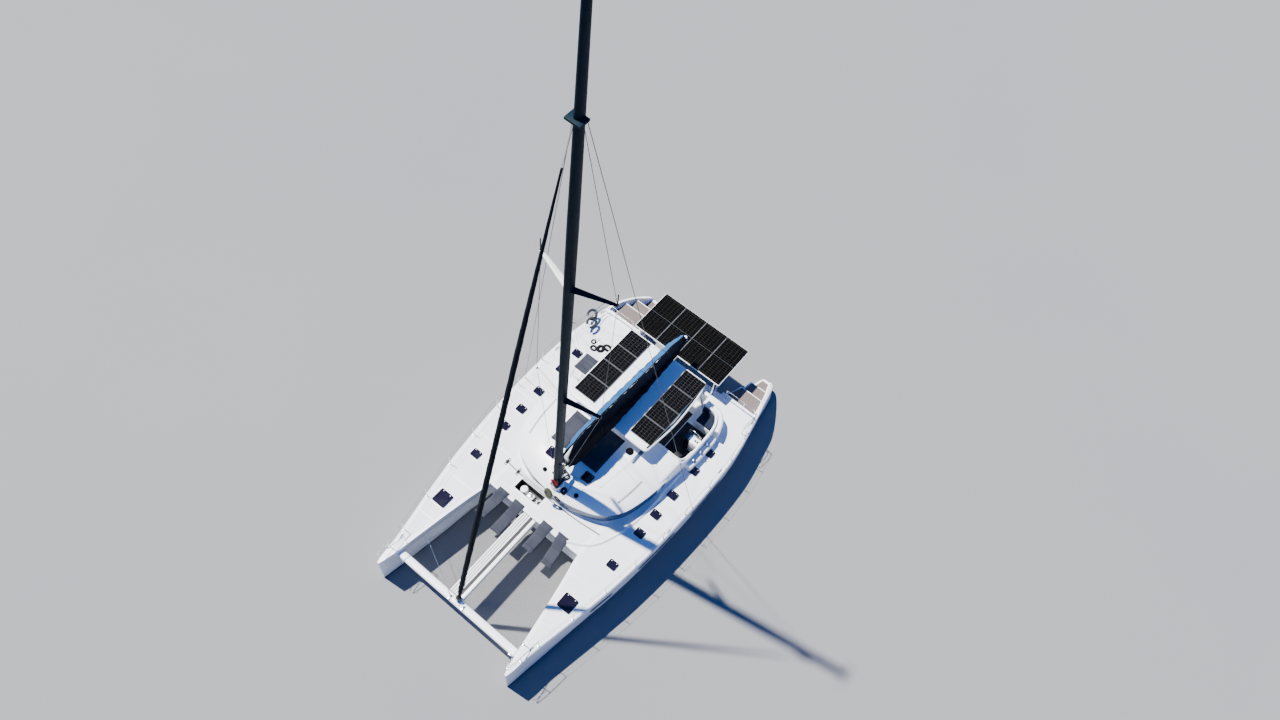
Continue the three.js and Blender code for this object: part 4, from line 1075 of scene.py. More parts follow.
for name, x, *rest in DECK_HATCHES:
    for side, sign in SIDES:
        hatch_lid(f"hatch_{name}_{side}", sign * x, *rest, DECK)
for name, *place in ROOF_HATCHES:
    hatch_lid(f"hatch_{name}", *place, ROOF)

# %% [markdown]
# ## Helm
# The coaming is a ribbon along a curve in plan. Inside it stand the console with its screens and
# throttles, the wheel, and the seat's base. Winches stand on a ledge outside it, where the lines
# from the mast arrive.

# %% Helm coaming, console and winches
HELM_LINE = [(3.03, 2.051), (3.11, 2.5), (3.13, 3.3), (3.10, 4.05), (2.96, 4.48), (2.70, 4.73),
             (2.15, 4.79)]
HELM_TOP, HELM_WALL, SEAT_Z, LEDGE_Z = 2.6, 0.1, 2.23, 2.2
SEAT_BASE = [(2.23, 4.0), (3.02, 4.0), (3.01, 4.08), (2.90, 4.42), (2.66, 4.65), (2.23, 4.70)]
RIM_LINE = [(1.95, 1.99, 2.89), (2.4, 2.0, 2.86), (2.75, 2.03, 2.8), (2.93, 2.14, 2.68), (3.0, 2.35, 2.6),
            (3.03, 2.7, 2.59)]
helm_line = smooth_line(HELM_LINE, 6)
bm, dark, ledge = shapes(3)
ribbon(bm, helm_line, (-HELM_WALL, 0), (DECK, HELM_TOP), 0.03)
prism(bm, SEAT_BASE, DECK, SEAT_Z, 0.02)
slab(bm, (2.66, 3.0, DECK), (3.04, 3.33, 2.56), 0.03, 3)
ribbon(bm, [p for p in helm_line if p[1] > 4.0], (-0.01, 0.24), (DECK, 2.5), 0.07)
tube(bm, smooth_line(RIM_LINE, 5), 0.035, 14)
slab(dark, (2.43, 3.0, DECK), (2.67, 3.325, 2.555), 0.03, 3)
# The dark mat on the well's floor and the dark lining inside the coaming are painted shade.
slab(dark, (1.93, 2.12, DECK + 0.001), (3.0, 3.99, DECK + 0.012), 0.004)
ribbon(dark, helm_line, (-HELM_WALL - 0.006, -HELM_WALL + 0.002), (DECK + 0.01, 2.42))
piece("helm_coaming", (bm, gelcoat), (dark, black_plastic), slot="gelcoat", replaces=["helm_station"])
ribbon(ledge, [p for p in helm_line if 2.3 < p[1] < 4.0], (-0.01, 0.24), (DECK, LEDGE_Z), 0.03)
piece("winch_ledge", (ledge, gelcoat))

screens, levers, dials = shapes(3)
slab(screens, (2.45, 3.06, 2.551), (2.65, 3.28, 2.572), 0.006)
for x in (2.84, 2.94):
    disc(dials, (x, 3.17, 2.556), 0.045, 0.014, 28, bevel=0.004)
for x in (2.9, 2.96):
    tube(levers, [(x, 3.3, 2.5), (x, 3.36, 2.54), (x, 3.38, 2.64)], 0.008, 8)
    ball(levers, (x, 3.38, 2.65), 0.018)
piece("helm_instruments", (screens, window_glass), (dials, black_plastic), (levers, steel))

# A winch's drum narrows at its waist and ends in a self-tailing ring: radius, height
WINCH_PROFILE = [(0.0825, 0), (0.0858, 0.0132), (0.0572, 0.033), (0.0506, 0.088), (0.0605, 0.1265),
                 (0.0726, 0.1342), (0.0726, 0.1474), (0.0385, 0.1562), (0.0154, 0.165)]
winches, clutches = shapes(2)
for x, y, z in ((3.24, 2.6, LEDGE_Z), (3.25, 3.05, LEDGE_Z), (3.24, 3.5, LEDGE_Z), (-2.45, 4.15, DECK),
                (-2.45, 4.6, DECK)):
    skin(winches, [[(x + r * math.cos(t), y + r * math.sin(t), z + h) for t in angles(24)]
                   for r, h in WINCH_PROFILE])
piece("winches", (winches, steel))
for k in range(5):
    slab(clutches, (2.6 + 0.045 * k, 2.12, 2.62), (2.635 + 0.045 * k, 2.3, 2.68), 0.008)
slab(clutches, (2.55, 2.08, 2.58), (2.85, 2.34, 2.63), 0.01)
piece("line_clutches", (clutches, black_plastic))

# %% Steering wheel
wheel = bmesh.new()
centre, WHEEL_RADIUS = Vector((2.65, 3.4, 2.42)), 0.3


def on_wheel(turn):
    return centre + Vector((math.cos(turn), 0, math.sin(turn))) * WHEEL_RADIUS


tube(wheel, [on_wheel(t) for t in (*angles(48), 2 * math.pi)], 0.016, 12)
for t in angles(5):
    tip = on_wheel(t + math.pi / 2)
    tube(wheel, [centre, mix(centre, tip, 0.5), tip], [0.014, 0.010, 0.008], 10)
disc(wheel, centre - Vector((0, 0.0697, 0)), 0.045, 0.11, 28, axis="Y", bevel=0.012)
piece("wheel", (wheel, steel), body="steering_wheel", slot="stainless", replaces=["steering_wheel"],
      angle=60)

# %% [markdown]
# ## Hardtop
# A rigid roof over the cockpit, flat where the panels lie and rounded at its rim, with a raised lip
# along its curved port edge.

# %% Hardtop and frame
HARDTOP_LOW, HARDTOP_TOP, HARDTOP_MIDDLE = 3.45, 3.6, 3.05
port_edge = smooth_line([(1.93, 1.25), (2.05, 2.4), (2.06, 3.2), (1.99, 4.3), (1.88, 4.9)], 5)
hardtop_line = [(-1.95, 1.25), (-1.91, 1.15), (-1.8, 1.1), (1.75, 1.1), (1.87, 1.14), *port_edge,
                (1.86, 4.97), (1.78, 5.0), (-1.85, 5.0), (-1.93, 4.97), (-1.95, 4.9)]


def hardtop_ring(z, inset):
    """The outline, moved in a little on every side."""
    ring = []
    for x, y in hardtop_line:
        way = max(-1, min(1, (y - HARDTOP_MIDDLE) / 1.5))
        ring.append((x - inset * math.copysign(1, x), y - inset * way, z))
    return ring


bm = bmesh.new()
levels = [(HARDTOP_LOW, 0.06), (3.475, 0.02), (3.52, 0), (3.56, 0.02), (3.58, 0.05), (3.592, 0.1),
          (HARDTOP_TOP, 0.2)]
skin(bm, [hardtop_ring(*level) for level in levels])
ribbon(bm, port_edge, (-0.05, 0.0), (3.52, 3.625), 0.02)
# The gutter inside the lip is a dark strip: painted shade.
gutter_painted_shade = bmesh.new()
ribbon(gutter_painted_shade, port_edge, (-0.13, -0.06), (3.57, 3.604))
piece("hardtop_shell", (bm, gelcoat), (gutter_painted_shade, spar_paint), slot="gelcoat", replaces=["hardtop"], angle=28)

frame_bm, top_bar = bmesh.new(), HARDTOP_LOW - 0.07
for x in (-1.5, 1.5):
    slab(frame_bm, (x - 0.04, 1.35, top_bar), (x + 0.04, 4.85, HARDTOP_LOW), 0.01)
for y in (1.5, 3.1, 4.75):
    slab(frame_bm, (-1.8, y - 0.04, top_bar), (1.8, y + 0.04, HARDTOP_LOW), 0.01)
for side in (-1, 1):
    tube(frame_bm, [(side * 1.4, 1.5, ROOF), (side * 1.4, 1.5, top_bar + 0.02)], 0.04, 20)
    disc(frame_bm, (side * 1.4, 1.5, ROOF), 0.07, 0.015, 24, bevel=0.005)
    tube(frame_bm, [(side * 2.0703, 4.857, DECK), (side * 1.74, 4.75, top_bar + 0.02)], 0.045, 20)
piece("hardtop_bearers", (frame_bm, gelcoat), slot="gelcoat", replaces=["hardtop_frame"])

# %% [markdown]
# ## Solar panels
# Each panel is a glass sheet in a thin metal frame. Its top face is inset and sunk a little, and only
# that face gets the cells, mapped from edge to edge by a UV map of its own. The stern panels lie on
# a frame of steel tube that stands on the aft deck.


# %% Panels
PANEL_EDGE = 0.011


def solar_array(name, node, spans, finish, middle_bar=False):
    cells, rims = shapes(2)
    uv = cells.loops.layers.uv.new("panel")
    low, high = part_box(node)
    for x0, x1, y0, y1 in spans:
        slab(rims, (x0, y0, high.z - 0.035), (x1, y1, high.z - 0.003), 0.003, 1)
        left, right, front, aft = x0 + PANEL_EDGE, x1 - PANEL_EDGE, y0 + PANEL_EDGE, y1 - PANEL_EDGE
        made = bmesh.ops.create_grid(cells, x_segments=1, y_segments=1, size=0.5)["verts"]
        for v in made:
            v.co = (mix(left, right, v.co.x + 0.5), mix(front, aft, v.co.y + 0.5), high.z - 0.001)
        faces = list({f for v in made for f in v.link_faces})
        for loop in [loop for face in faces for loop in face.loops]:
            x, y, _ = loop.vert.co
            loop[uv].uv = (x - left) / (right - left), (y - front) / (aft - front)
        lifted = bmesh.ops.extrude_face_region(cells, geom=faces)["geom"]
        lifted = [g for g in lifted if isinstance(g, bmesh.types.BMVert)]
        bmesh.ops.translate(cells, vec=(0, 0, 0.001), verts=lifted)
        bmesh.ops.delete(cells, geom=[f for f in faces if f.is_valid], context="FACES")
        if middle_bar:
            y = (y0 + y1) / 2
            slab(rims, (x0, y - 0.005, high.z - 0.004), (x1, y + 0.005, high.z + 0.0002))
        for a, b, c, d in ((x0, left, y0, y1), (right, x1, y0, y1), (x0, x1, y0, front), (x0, x1, aft, y1)):
            slab(rims, (a, c, high.z - 0.004), (b, d, high.z + 0.0005))
    for share in (0.22, 0.78):
        x, y = mix(low.x, high.x, share), mix(low.y, high.y, share)
        if high.x - low.x > high.y - low.y:
            slab(rims, (low.x, y - 0.03, low.z), (high.x, y + 0.03, low.z + 0.012))
        else:
            slab(rims, (x - 0.03, low.y, low.z), (x + 0.03, high.y, low.z + 0.012))
    piece(name, (cells, finish), (rims, stay_wire), slot="solar", replaces=[node])


PANEL_GAP = 0.014
for side, _ in SIDES:
    low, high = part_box(f"roof_solar_{side}")
    pitch = (high.y - low.y + PANEL_GAP) / 4
    spans = [(low.x, high.x, low.y + k * pitch, low.y + (k + 1) * pitch - PANEL_GAP) for k in range(4)]
    solar_array(f"roof_panels_{side}", f"roof_solar_{side}", spans, roof_cells)
low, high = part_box("stern_solar_array")
pitch = (high.x - low.x + PANEL_GAP) / 4
spans = [(low.x + k * pitch, low.x + (k + 1) * pitch - PANEL_GAP, low.y, high.y) for k in range(4)]
solar_array("stern_panels", "stern_solar_array", spans, stern_cells, middle_bar=True)

# %% Davit frame
tubes, edges, falls = shapes(3)
top_z, front_y, aft_y = 2.85, 5.6, 7.6
for x in (-1.9, 1.9):
    tube(tubes, [(x, front_y, top_z), (x, aft_y, top_z)], 0.03, 16)
    tube(tubes, [(x, 5.64, DECK), (x, 5.64, top_z)], 0.035, 16)
    tube(tubes, [(x, 5.908, DECK), (x, 7.3, top_z)], 0.03, 16)
    disc(tubes, (x, 5.64, DECK), 0.07, 0.012, 24, bevel=0.004)
    disc(tubes, (x, 5.93, DECK - 0.01), 0.07, 0.022, 24, bevel=0.004)
for y in (front_y, (front_y + aft_y) / 2, aft_y):
    tube(tubes, [(-2.1, y, top_z), (2.1, y, top_z)], 0.03, 16)
border = [(low.x, low.y), (high.x, low.y), (high.x, high.y), (low.x, high.y), (low.x, low.y)]
for (x0, y0), (x1, y1) in zip(border, border[1:]):
    tube(edges, [(x0, y0, high.z - 0.03), (x1, y1, high.z - 0.03)], 0.024, 12)
for x in (-1.2, 1.2):
    disc(falls, (x - 0.02, 7.1, top_z - 0.1), 0.045, 0.04, 20, axis="X", bevel=0.008)
    tube(falls, [(x, 7.1, top_z - 0.08), (x, 7.1, top_z)], 0.008, 8)
piece("davit_tubes", (tubes, steel), (edges, gelcoat), (falls, black_plastic), slot="stainless",
      replaces=["davit_frame"])

# %% [markdown]
# ## Foredeck spars and nets
# The crossbeam is a rounded alloy section between the bows. A striker below it takes the pull of the
# forestay. The walkway is laid in long slats, and two nets are laced between beam, hulls and deck.

# %% Crossbeam and walkway
BEAM_Y, BEAM_Z, BEAM_HALF = (-7.3, -7.0), (1.34, 1.56), 2.93


def squared(part, power):
    """A sine or cosine drawn out to its ends, which squares a round section off."""
    return math.copysign(abs(part) ** power, part)


def beam_ring(x):
    """A squared-off oval section."""
    return [(x, mix(*BEAM_Y, 0.5 + 0.5 * squared(math.cos(t), 0.55)),
             mix(*BEAM_Z, 0.5 + 0.5 * squared(math.sin(t), 0.55))) for t in angles(28)]


beam, fittings = shapes(2)
skin(beam, [beam_ring(x) for x in (-BEAM_HALF, -1, 0, 1, BEAM_HALF)])
slab(beam, (-0.15, -7.24, 1.53), (0.15, -7.01, 1.5995), 0.012, 3)
for side in (-1, 1):
    tube(fittings, [(0, -7.15, 1.02), (side * 1.4, -7.15, 1.17), (side * 2.86, -7.15, 1.36)], 0.012, 10)
    slab(fittings, (side * 2.72 - 0.12, -7.32, 1.33), (side * 2.72 + 0.12, -6.98, 1.35), 0.006)
tube(fittings, [(0, -7.15, 0.98), (0, -7.15, 1.36)], 0.035, 16)
ball(fittings, (0, -7.15, 1.0), 0.045)
for x in (-0.32, 0.32):
    slab(fittings, (x - 0.05, -7.3, 1.545), (x + 0.05, -7.1, 1.575), 0.01)
tube(fittings, [(-2.7, -6.05, 1.83), (-0.35, -7.15, 1.6)], 0.008, 8)
piece("crossbeam", (beam, gelcoat), (fittings, steel), slot="gelcoat", replaces=["forward_crossbeam"])

FORE_FRONT, FORE_AFT = -6.9997, -3.0503
spar, slats, dark = shapes(3)
slab(spar, (-0.03, FORE_FRONT, 1.38), (0.12, FORE_AFT, 1.64), 0.03, 4)
SLATS, SEAM = 4, 0.022
width = (0.35 - SEAM * (SLATS - 1)) / SLATS
for k in range(SLATS):
    x = -0.5 + k * (width + SEAM)
    slab(slats, (x, FORE_FRONT, 1.612), (x + width, FORE_AFT, 1.64), 0.006)
# A dark plate under the slats fills the gaps and the slot beside the spar with painted shade.
slab(dark, (-0.49, FORE_FRONT + 0.01, 1.585), (-0.031, FORE_AFT - 0.01, 1.608))
for y in (-6.8, -5.6, -4.4, -3.2):
    slab(spar, (-0.47, y - 0.04, 1.5), (0.0, y + 0.04, 1.58), 0.008)
for x in (-0.5, -0.18):
    slab(spar, (x, FORE_FRONT, 1.575), (x + 0.03, FORE_AFT, 1.613), 0.006)
piece("walkway", (spar, gelcoat), (slats, grip), (dark, black_plastic), slot="gelcoat",
      replaces=["longeron"])

# %% [markdown]
# ## Nets
# A knotless net is a square mesh of thin cord. A grid of faces is cut to the shape of the bay, and a
# Wireframe modifier turns each edge into a cord. Its edge is laced round a heavier rope.

# %% Nets
NET_Z, NET_MESH, NET_CORD, NET_REACH = 1.596, 0.06, 0.0035, 2.86


def net(name, inner_x, side):
    bm, rim = shapes(2)
    columns, rows = round((NET_REACH - inner_x) / NET_MESH), round((FORE_AFT - FORE_FRONT) / NET_MESH)
    made = bmesh.ops.create_grid(bm, x_segments=columns, y_segments=rows, size=0.5)["verts"]
    for v in made:
        y = mix(FORE_FRONT + 0.03, FORE_AFT - 0.03, v.co.y + 0.5)
        v.co = (side * mix(inner_x + 0.03, deck_edge(y, 1) - 0.035, v.co.x + 0.5), y, NET_Z)
    if side < 0:
        bmesh.ops.reverse_faces(bm, faces=bm.faces)
    ys = np.linspace(FORE_FRONT + 0.03, FORE_AFT - 0.03, 12)
    border = [(side * (inner_x + 0.03), ys[0], NET_Z)]
    border += [(side * (deck_edge(y, 1) - 0.035), y, NET_Z) for y in ys]
    border += [(side * (inner_x + 0.03), ys[-1], NET_Z), border[0]]
    tube(rim, border, 0.006, 8)
    mesh_piece = piece(f"{name}_mesh", (bm, net_cord), slot="net", replaces=[name])
    wires = mesh_piece.modifiers.new("cords", "WIREFRAME")
    wires.thickness, wires.use_boundary = NET_CORD, True
    settled(mesh_piece)
    piece(f"{name}_border", (rim, net_cord), slot="net")


net("net_port", 0.12, 1)
net("net_starboard", 0.5, -1)

# %% [markdown]
# ## Mast
# The mast is an oval alloy section that leans aft a little and narrows towards its head. Two pairs of
# swept spreaders hold the wires out, and a track for the sail runs up its aft face.

# %% Mast lines
MAST_Y, MAST_Z, MAST_STEP, MAST_HEAD = -1.72, 2.9, 2.87, 25.0
MAST_LEAN = math.tan(math.radians(1.49))
MAST_HALF, MAST_CHORD, TAPER_FROM, HEAD_SHARE = 0.13, 0.2, 18.0, 0.7
SPREADER_ROOTS, SPREADER_TIPS = (9.3, 15.4), ((1.35, -1.25, 9.3), (1.35, -1.014, 15.525))
HOUNDS = 21.7
GOOSENECK = Vector((0, -1.38, 3.7))


def mast_at(z, ahead=0.0):
    """The mast's middle at a height, moved forward by a distance."""
    return Vector((0, MAST_Y + MAST_LEAN * (z - MAST_Z) - ahead, z))


def mast_share(z):
    return 1 if z < TAPER_FROM else mix(1, HEAD_SHARE, (z - TAPER_FROM) / (MAST_HEAD - TAPER_FROM))


def oval(centre, half_x, half_y, sides):
    x, y, z = centre
    return [(x + half_x * math.cos(t), y + half_y * math.sin(t), z) for t in angles(sides)]


# %% Mast
tube_bm, fittings, wires, arms = shapes(4)
levels = [MAST_STEP + 0.0005, 6, 12, TAPER_FROM, 21, 24, MAST_HEAD - 0.04, MAST_HEAD]
skin(tube_bm, [oval(mast_at(z), MAST_HALF * mast_share(z) * (0.9 if z == MAST_HEAD else 1),
                    MAST_CHORD * mast_share(z) * (0.9 if z == MAST_HEAD else 1), 36) for z in levels])
for z0, z1 in ((4.6, 9.1), (9.5, 15.2), (15.6, 24.7)):
    rings = []
    for z in (z0, z1):
        x, y, _ = mast_at(z, -MAST_CHORD * mast_share(z))
        rings.append([(x - 0.014, y - 0.02, z), (x + 0.014, y - 0.02, z), (x + 0.014, y + 0.022, z),
                      (x - 0.014, y + 0.022, z)])
    skin(fittings, rings)
# Port spreaders are drawn into the mast's tube with its dark paint (painted shade), starboard ones apart
# with the pale paint (painted sunlight).
for root, (tip_x, tip_y, tip_z) in zip(SPREADER_ROOTS, SPREADER_TIPS):
    for side, arm in ((1, tube_bm), (-1, arms)):
        tip, rings = Vector((side * tip_x, tip_y, tip_z)), []
        for share, half, thick in ((0.03, 0.125, 0.036), (0.5, 0.09, 0.028), (1, 0.06, 0.018)):
            x, y, z = mix(mast_at(root), tip, share)
            rings.append([(x, y + half * math.cos(t), z + thick * math.sin(t)) for t in angles(16)])
        skin(arm, rings)
        slab(fittings, tip - Vector((0.022, 0.035, 0.05)), tip + Vector((0.022, 0.035, 0.05)), 0.01)
        if root == SPREADER_ROOTS[1]:
            tube(fittings, [tip + Vector((0, 0, 0.04)), tip + Vector((0, 0, 0.5))], 0.018, 10)
hound = mast_at(HOUNDS)
slab(tube_bm, (-0.23, hound.y - 0.26, HOUNDS), (0.23, hound.y + 0.09, HOUNDS + 0.08), 0.015)
crane = mast_at(MAST_HEAD)
slab(tube_bm, (-0.04, crane.y - 0.18, MAST_HEAD - 0.12), (0.04, crane.y + 0.42, MAST_HEAD - 0.02), 0.015)
goose_back = mast_at(GOOSENECK.z).y + MAST_CHORD - 0.03
for off in (-0.085, 0.085):
    height = GOOSENECK.z + off
    slab(fittings, (-0.045, goose_back, height - 0.015), (0.045, -1.33, height + 0.015), 0.006)
disc(fittings, GOOSENECK - Vector((0, 0, 0.09)), 0.014, 0.18, 20)
step_y = mast_at(MAST_Z).y
slab(fittings, (-0.17, step_y - 0.24, MAST_STEP + 0.001), (0.17, step_y + 0.24, MAST_STEP + 0.03), 0.01)
for z, side in ((3.35, 1), (3.6, -1), (4.7, 1)):
    spot = mast_at(z)
    tube(fittings, [(side * 0.125, spot.y - 0.08, z), (side * 0.19, spot.y - 0.08, z)], 0.035, 16)
for side in (-1, 1):
    points = [(side * 0.13, mast_at(3.3).y, 3.3)]
    points += [(side * x, y, z) for x, y, z in SPREADER_TIPS]
    points.append((side * 0.11, mast_at(HOUNDS).y, HOUNDS - 0.05))
    tube(wires, points, 0.008, 6)
piece("mast_tube", (tube_bm, spar_paint), (fittings, black_plastic), (wires, stay_wire),
      (arms, spreader_painted_sunlight), slot="spar", replaces=["mast"], angle=40)

# %% [markdown]
# ## Masthead
# The masthead carries a wind vane, an anemometer, an aerial and the anchor light.

# %% Masthead gear
head_bm, lamp = shapes(2)
top = mast_at(MAST_HEAD)
tube(head_bm, [(0, top.y + 0.1, MAST_HEAD - 0.03), (0, top.y + 0.1, MAST_HEAD + 0.45)], 0.004, 6)
tube(head_bm, [(0.02, top.y - 0.12, MAST_HEAD - 0.03), (0.02, top.y - 0.42, MAST_HEAD + 0.12),
               (0.02, top.y - 0.5, MAST_HEAD + 0.14)], 0.008, 8)
for turn in angles(3):
    cup_x, cup_y = 0.02 + 0.05 * math.cos(turn), top.y - 0.5 + 0.05 * math.sin(turn)
    ball(head_bm, (cup_x, cup_y, MAST_HEAD + 0.14), 0.016)
slab(head_bm, (-0.035, top.y - 0.35, MAST_HEAD + 0.1), (-0.031, top.y - 0.1, MAST_HEAD + 0.16))
disc(lamp, (0, top.y, MAST_HEAD - 0.002), 0.035, 0.06, 20, bevel=0.01)
piece("masthead_gear", (head_bm, black_plastic), (lamp, sail_white))

# %% [markdown]
# ## Boom and sail bag
# Both are drawn along their own line from the gooseneck and then swung 1.4 degrees to port, as the
# real boom is. The bag is a pair of canvas sheets that hang from the zip, belly down beside the boom
# and end on its top. They sag between the lines that hold them up: a sine along the bag lowers the
# cloth there, and a slow noise puckers it.

# %% Boom
BOOM_YAW, BOOM_RISE = 1.4, 0.08
BOOM_HALF, BOOM_DEEP = 0.1, 0.15
BOOM_PLACE = Matrix.Translation(GOOSENECK) @ Matrix.Rotation(math.radians(-BOOM_YAW), 4, "Z")


def boom_ring(y, share):
    """A squared oval with a narrow keel."""
    ring = []
    for t in angles(32):
        s = math.sin(t)
        x = BOOM_HALF * share * squared(math.cos(t), 0.6) * (1 if s > -0.2 else mix(1, 0.8, -s))
        z = BOOM_DEEP * squared(s, 0.7) * (1 if s > 0 else share)
        ring.append((x, y, y * BOOM_RISE + z))
    return ring


def swung(bm):
    """Moves a shape drawn along the boom's own line to its place."""
    bmesh.ops.transform(bm, matrix=BOOM_PLACE, verts=bm.verts)
    return bm


boom_bm, boom_ends, boom_metal = shapes(3)
skin(boom_bm, [boom_ring(y, share) for y, share in ((0.08, 0.8), (0.35, 0.93), (0.6, 1), (6.9, 1))])
skin(boom_ends, [boom_ring(y, share) for y, share in ((6.9, 1.002), (6.96, 1.0), (7.04, 0.9), (7.08, 0.7))])
disc(boom_metal, (0, 0, -0.0697), 0.04, 0.1347, 24, bevel=0.006)
slab(boom_metal, (-0.035, 0.01, -0.06), (0.035, 0.12, 0.06), 0.01)
for y in (2.2, 4.9, 6.7):
    slab(boom_metal, (-0.02, y - 0.04, y * BOOM_RISE - 0.19), (0.02, y + 0.04, y * BOOM_RISE - 0.13), 0.008)
piece("boom_tube", (swung(boom_bm), spar_paint), (swung(boom_ends), gelcoat),
      (swung(boom_metal), frame_alloy), body="boom", slot="spar", replaces=["boom"])

# %% Sail bag shape
# distance from the gooseneck, half width, height
BAG_SECTIONS = [(0.13, 0.15, 0.6), (0.48, 0.23, 0.96), (0.9, 0.30, 1.15), (2.5, 0.35, 0.88),
                (4.5, 0.33, 0.62), (6.3, 0.26, 0.40), (6.9, 0.14, 0.26)]
# share of the half width and of the height, from the boom up to the zip
BAG_PROFILE = [(0.3, 0.0), (0.66, -0.08), (0.92, -0.31), (1.02, -0.14), (1.0, 0.2), (0.99, 0.45),
               (0.88, 0.66), (0.62, 0.84), (0.3, 0.94), (0.06, 0.985)]
BAG_ROWS = 150
BAG_TIES = [0.5, 1.75, 3.1, 4.5, 5.8]
# the open front: where it ends, its length and how far the cloth stands apart
GAPE_END, GAPE_LENGTH, GAPE_WIDTH = 0.5, 0.37, 0.8
# the belly beside the boom: its drop at the front, how far aft it runs and its share of the cloth
BELLY_DROP, BELLY_LENGTH, BELLY_SHARE = 0.25, 1.4, 0.44
TIE_SAG, TIE_REACH, PUCKER, CREASE = 0.045, 0.65, 0.028, 0.012
bag_table = np.array(BAG_SECTIONS)


def bag_size(y):
    """Half width and height of the bag."""
    return [float(np.interp(y, bag_table[:, 0], bag_table[:, k])) for k in (1, 2)]


def gape(y):
    """How far the front of the bag stands open: 1 at its end and 0 from GAPE_END on."""
    return max(0, min(1, (GAPE_END - y) / GAPE_LENGTH))


def bag_point(y, share, side):
    """A point of the cloth: share runs from the boom up to the zip."""
    half, height = bag_size(y)
    profile = smooth_line(BAG_PROFILE, 4)
    step = share * (len(profile) - 1)
    low = min(int(step), len(profile) - 2)
    across, up = mix(profile[low], profile[low + 1], step - low)
    across += GAPE_WIDTH * gape(y) * share ** 2
    up -= BELLY_DROP * max(0, 1 - y / BELLY_LENGTH) * math.sin(math.pi * min(1, share / BELLY_SHARE))
    nearest = min(abs(y - tie) for tie in BAG_TIES)
    sag = TIE_SAG * math.sin(min(nearest / TIE_REACH, 1) * math.pi / 2) * math.sin(math.pi * share) ** 0.5
    pucker = noise.noise(Vector((y * 2.2, share * 3.0, side * 7.0))) * PUCKER
    creases = CREASE * math.sin(y * 16 + share * 5 * side) * math.sin(math.pi * share)
    swell = (pucker + creases) * min(1, share * 5)
    return (side * (half * across + swell), y, y * BOOM_RISE + BOOM_DEEP + 0.0005 + height * up - sag * up)


def bag_side(name, side, finish):
    bm = bmesh.new()
    ys = np.linspace(BAG_SECTIONS[0][0], BAG_SECTIONS[-1][0], BAG_ROWS)
    shares = np.linspace(0, 1, 26)
    skin(bm, [[bag_point(y, share, side) for share in shares] for y in ys], closed=False)
    if side < 0:
        bmesh.ops.reverse_faces(bm, faces=bm.faces)
    area = sum(face.calc_area() for face in bm.faces)
    made = piece(name, (swung(bm), finish), body=None, angle=80)
    wall = made.modifiers.new("cloth", "SOLIDIFY")
    wall.thickness, wall.offset = 0.003, -1
    settled(made)
    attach(made, "boom")
    print(name, "has", round(area, 2), "square metres of cloth")
    return made


# The port sheet gets the near-black copy of the canvas, which is painted shade.
bag_side("sail_bag_starboard", -1, bag_canvas)
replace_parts(bag_side("sail_bag_port", 1, bag_painted_shade), "sail_bag")

# %% [markdown]
# ## Stowed sail
# Between the two sheets the white sail lies in folds, and some of it shows along the open zip. At
# the bag's open front it fills the mouth.

# %% Stowed sail
folds, straps = shapes(2)
rings = []
for y in np.linspace(0.14, 6.75, 180):
    half, height = bag_size(y)
    base = y * BOOM_RISE + BOOM_DEEP
    ring = []
    for t in angles(20):
        ruffle = 0.035 * noise.noise(Vector((y * 4.5, math.cos(t) * 2, math.sin(t) * 2)))
        peak = 0.045 * max(0, noise.noise(Vector((y * 2.6, 3.1, 0)))) if math.sin(t) > 0.8 else 0
        full = mix(0.34 * (1 - 0.75 * max(0, math.sin(t))), 0.8, gape(y))
        x = half * full * math.cos(t) + ruffle * 0.6
        z = base + height * (0.52 + 0.46 * math.sin(t)) + peak + 0.2 * ruffle - 0.03
        ring.append((x, y, z))
    rings.append(ring)
skin(folds, rings)
for y in BAG_TIES:
    for side in (-1, 1):
        tube(straps, [bag_point(y, share, side) for share in np.linspace(0.02, 0.995, 14)], 0.008, 6)
for side in (-1, 1):
    zip_line = [bag_point(y, 0.99, side) for y in np.linspace(BAG_SECTIONS[0][0], BAG_SECTIONS[-1][0], 90)]
    tube(straps, zip_line, 0.011, 6)
piece("stowed_sail", (swung(folds), sail_white), body="boom", angle=70)
piece("bag_straps", (swung(straps), rope_dark), body="boom")

# %% [markdown]
# ## Lines that meet the boom
# The lazy jacks run from the mast to the boom and hold the bag up. They cross the joint at the
# gooseneck and are drawn as straight lines from the bag's ties to the mast, fixed in place.


# %% Lazy jacks
JACKS_TOP = 13.8
for name, side in SIDES:
    feet = [BOOM_PLACE @ Vector(bag_point(y, 0.93, side)) for y in BAG_TIES[1:]]
    top = Vector((side * 0.12, mast_at(JACKS_TOP).y + 0.1, JACKS_TOP))
    bm = bmesh.new()
    for foot in feet:
        tube(bm, [mix(foot, top, share) for share in np.linspace(0, 1, 25)], 0.003, 6)
    made = piece(f"lazy_jacks_{name}", (bm, rope_dark), body=None, slot="spar")
    tuple(feet[0])
    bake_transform(made)

# %% [markdown]
# ## Forestay and furled headsail
# The headsail is rolled round its stay inside a black strip along its edge. Each turn of the roll
# leaves a ridge that climbs the stay like a screw thread, and the roll swells and thins. A shroud
# with its turnbuckle holds the mast on each side.

# %% Forestay
STAY_FOOT, STAY_RADIUS = Vector((0, -7.12, 1.6003)), 0.012
STAY_HEAD = Vector((0, mast_at(HOUNDS).y - 0.23, HOUNDS))
stay_way = (STAY_HEAD - STAY_FOOT).normalized()
# distance up the stay, radius
ROLL_PROFILE = np.array([(0.36, 0.035), (0.6, 0.075), (0.9, 0.095), (3.0, 0.103), (6.0, 0.105),
                         (14.0, 0.085), (19.7, 0.03)])


def up_stay(distance):
    return STAY_FOOT + stay_way * distance


stay_side = Vector((1, 0, 0))
stay_up = stay_way.cross(stay_side)


def stay_ring(distance, radius, sides):
    middle = up_stay(distance)
    return [middle + (stay_side * math.cos(t) + stay_up * math.sin(t)) * radius for t in angles(sides)]


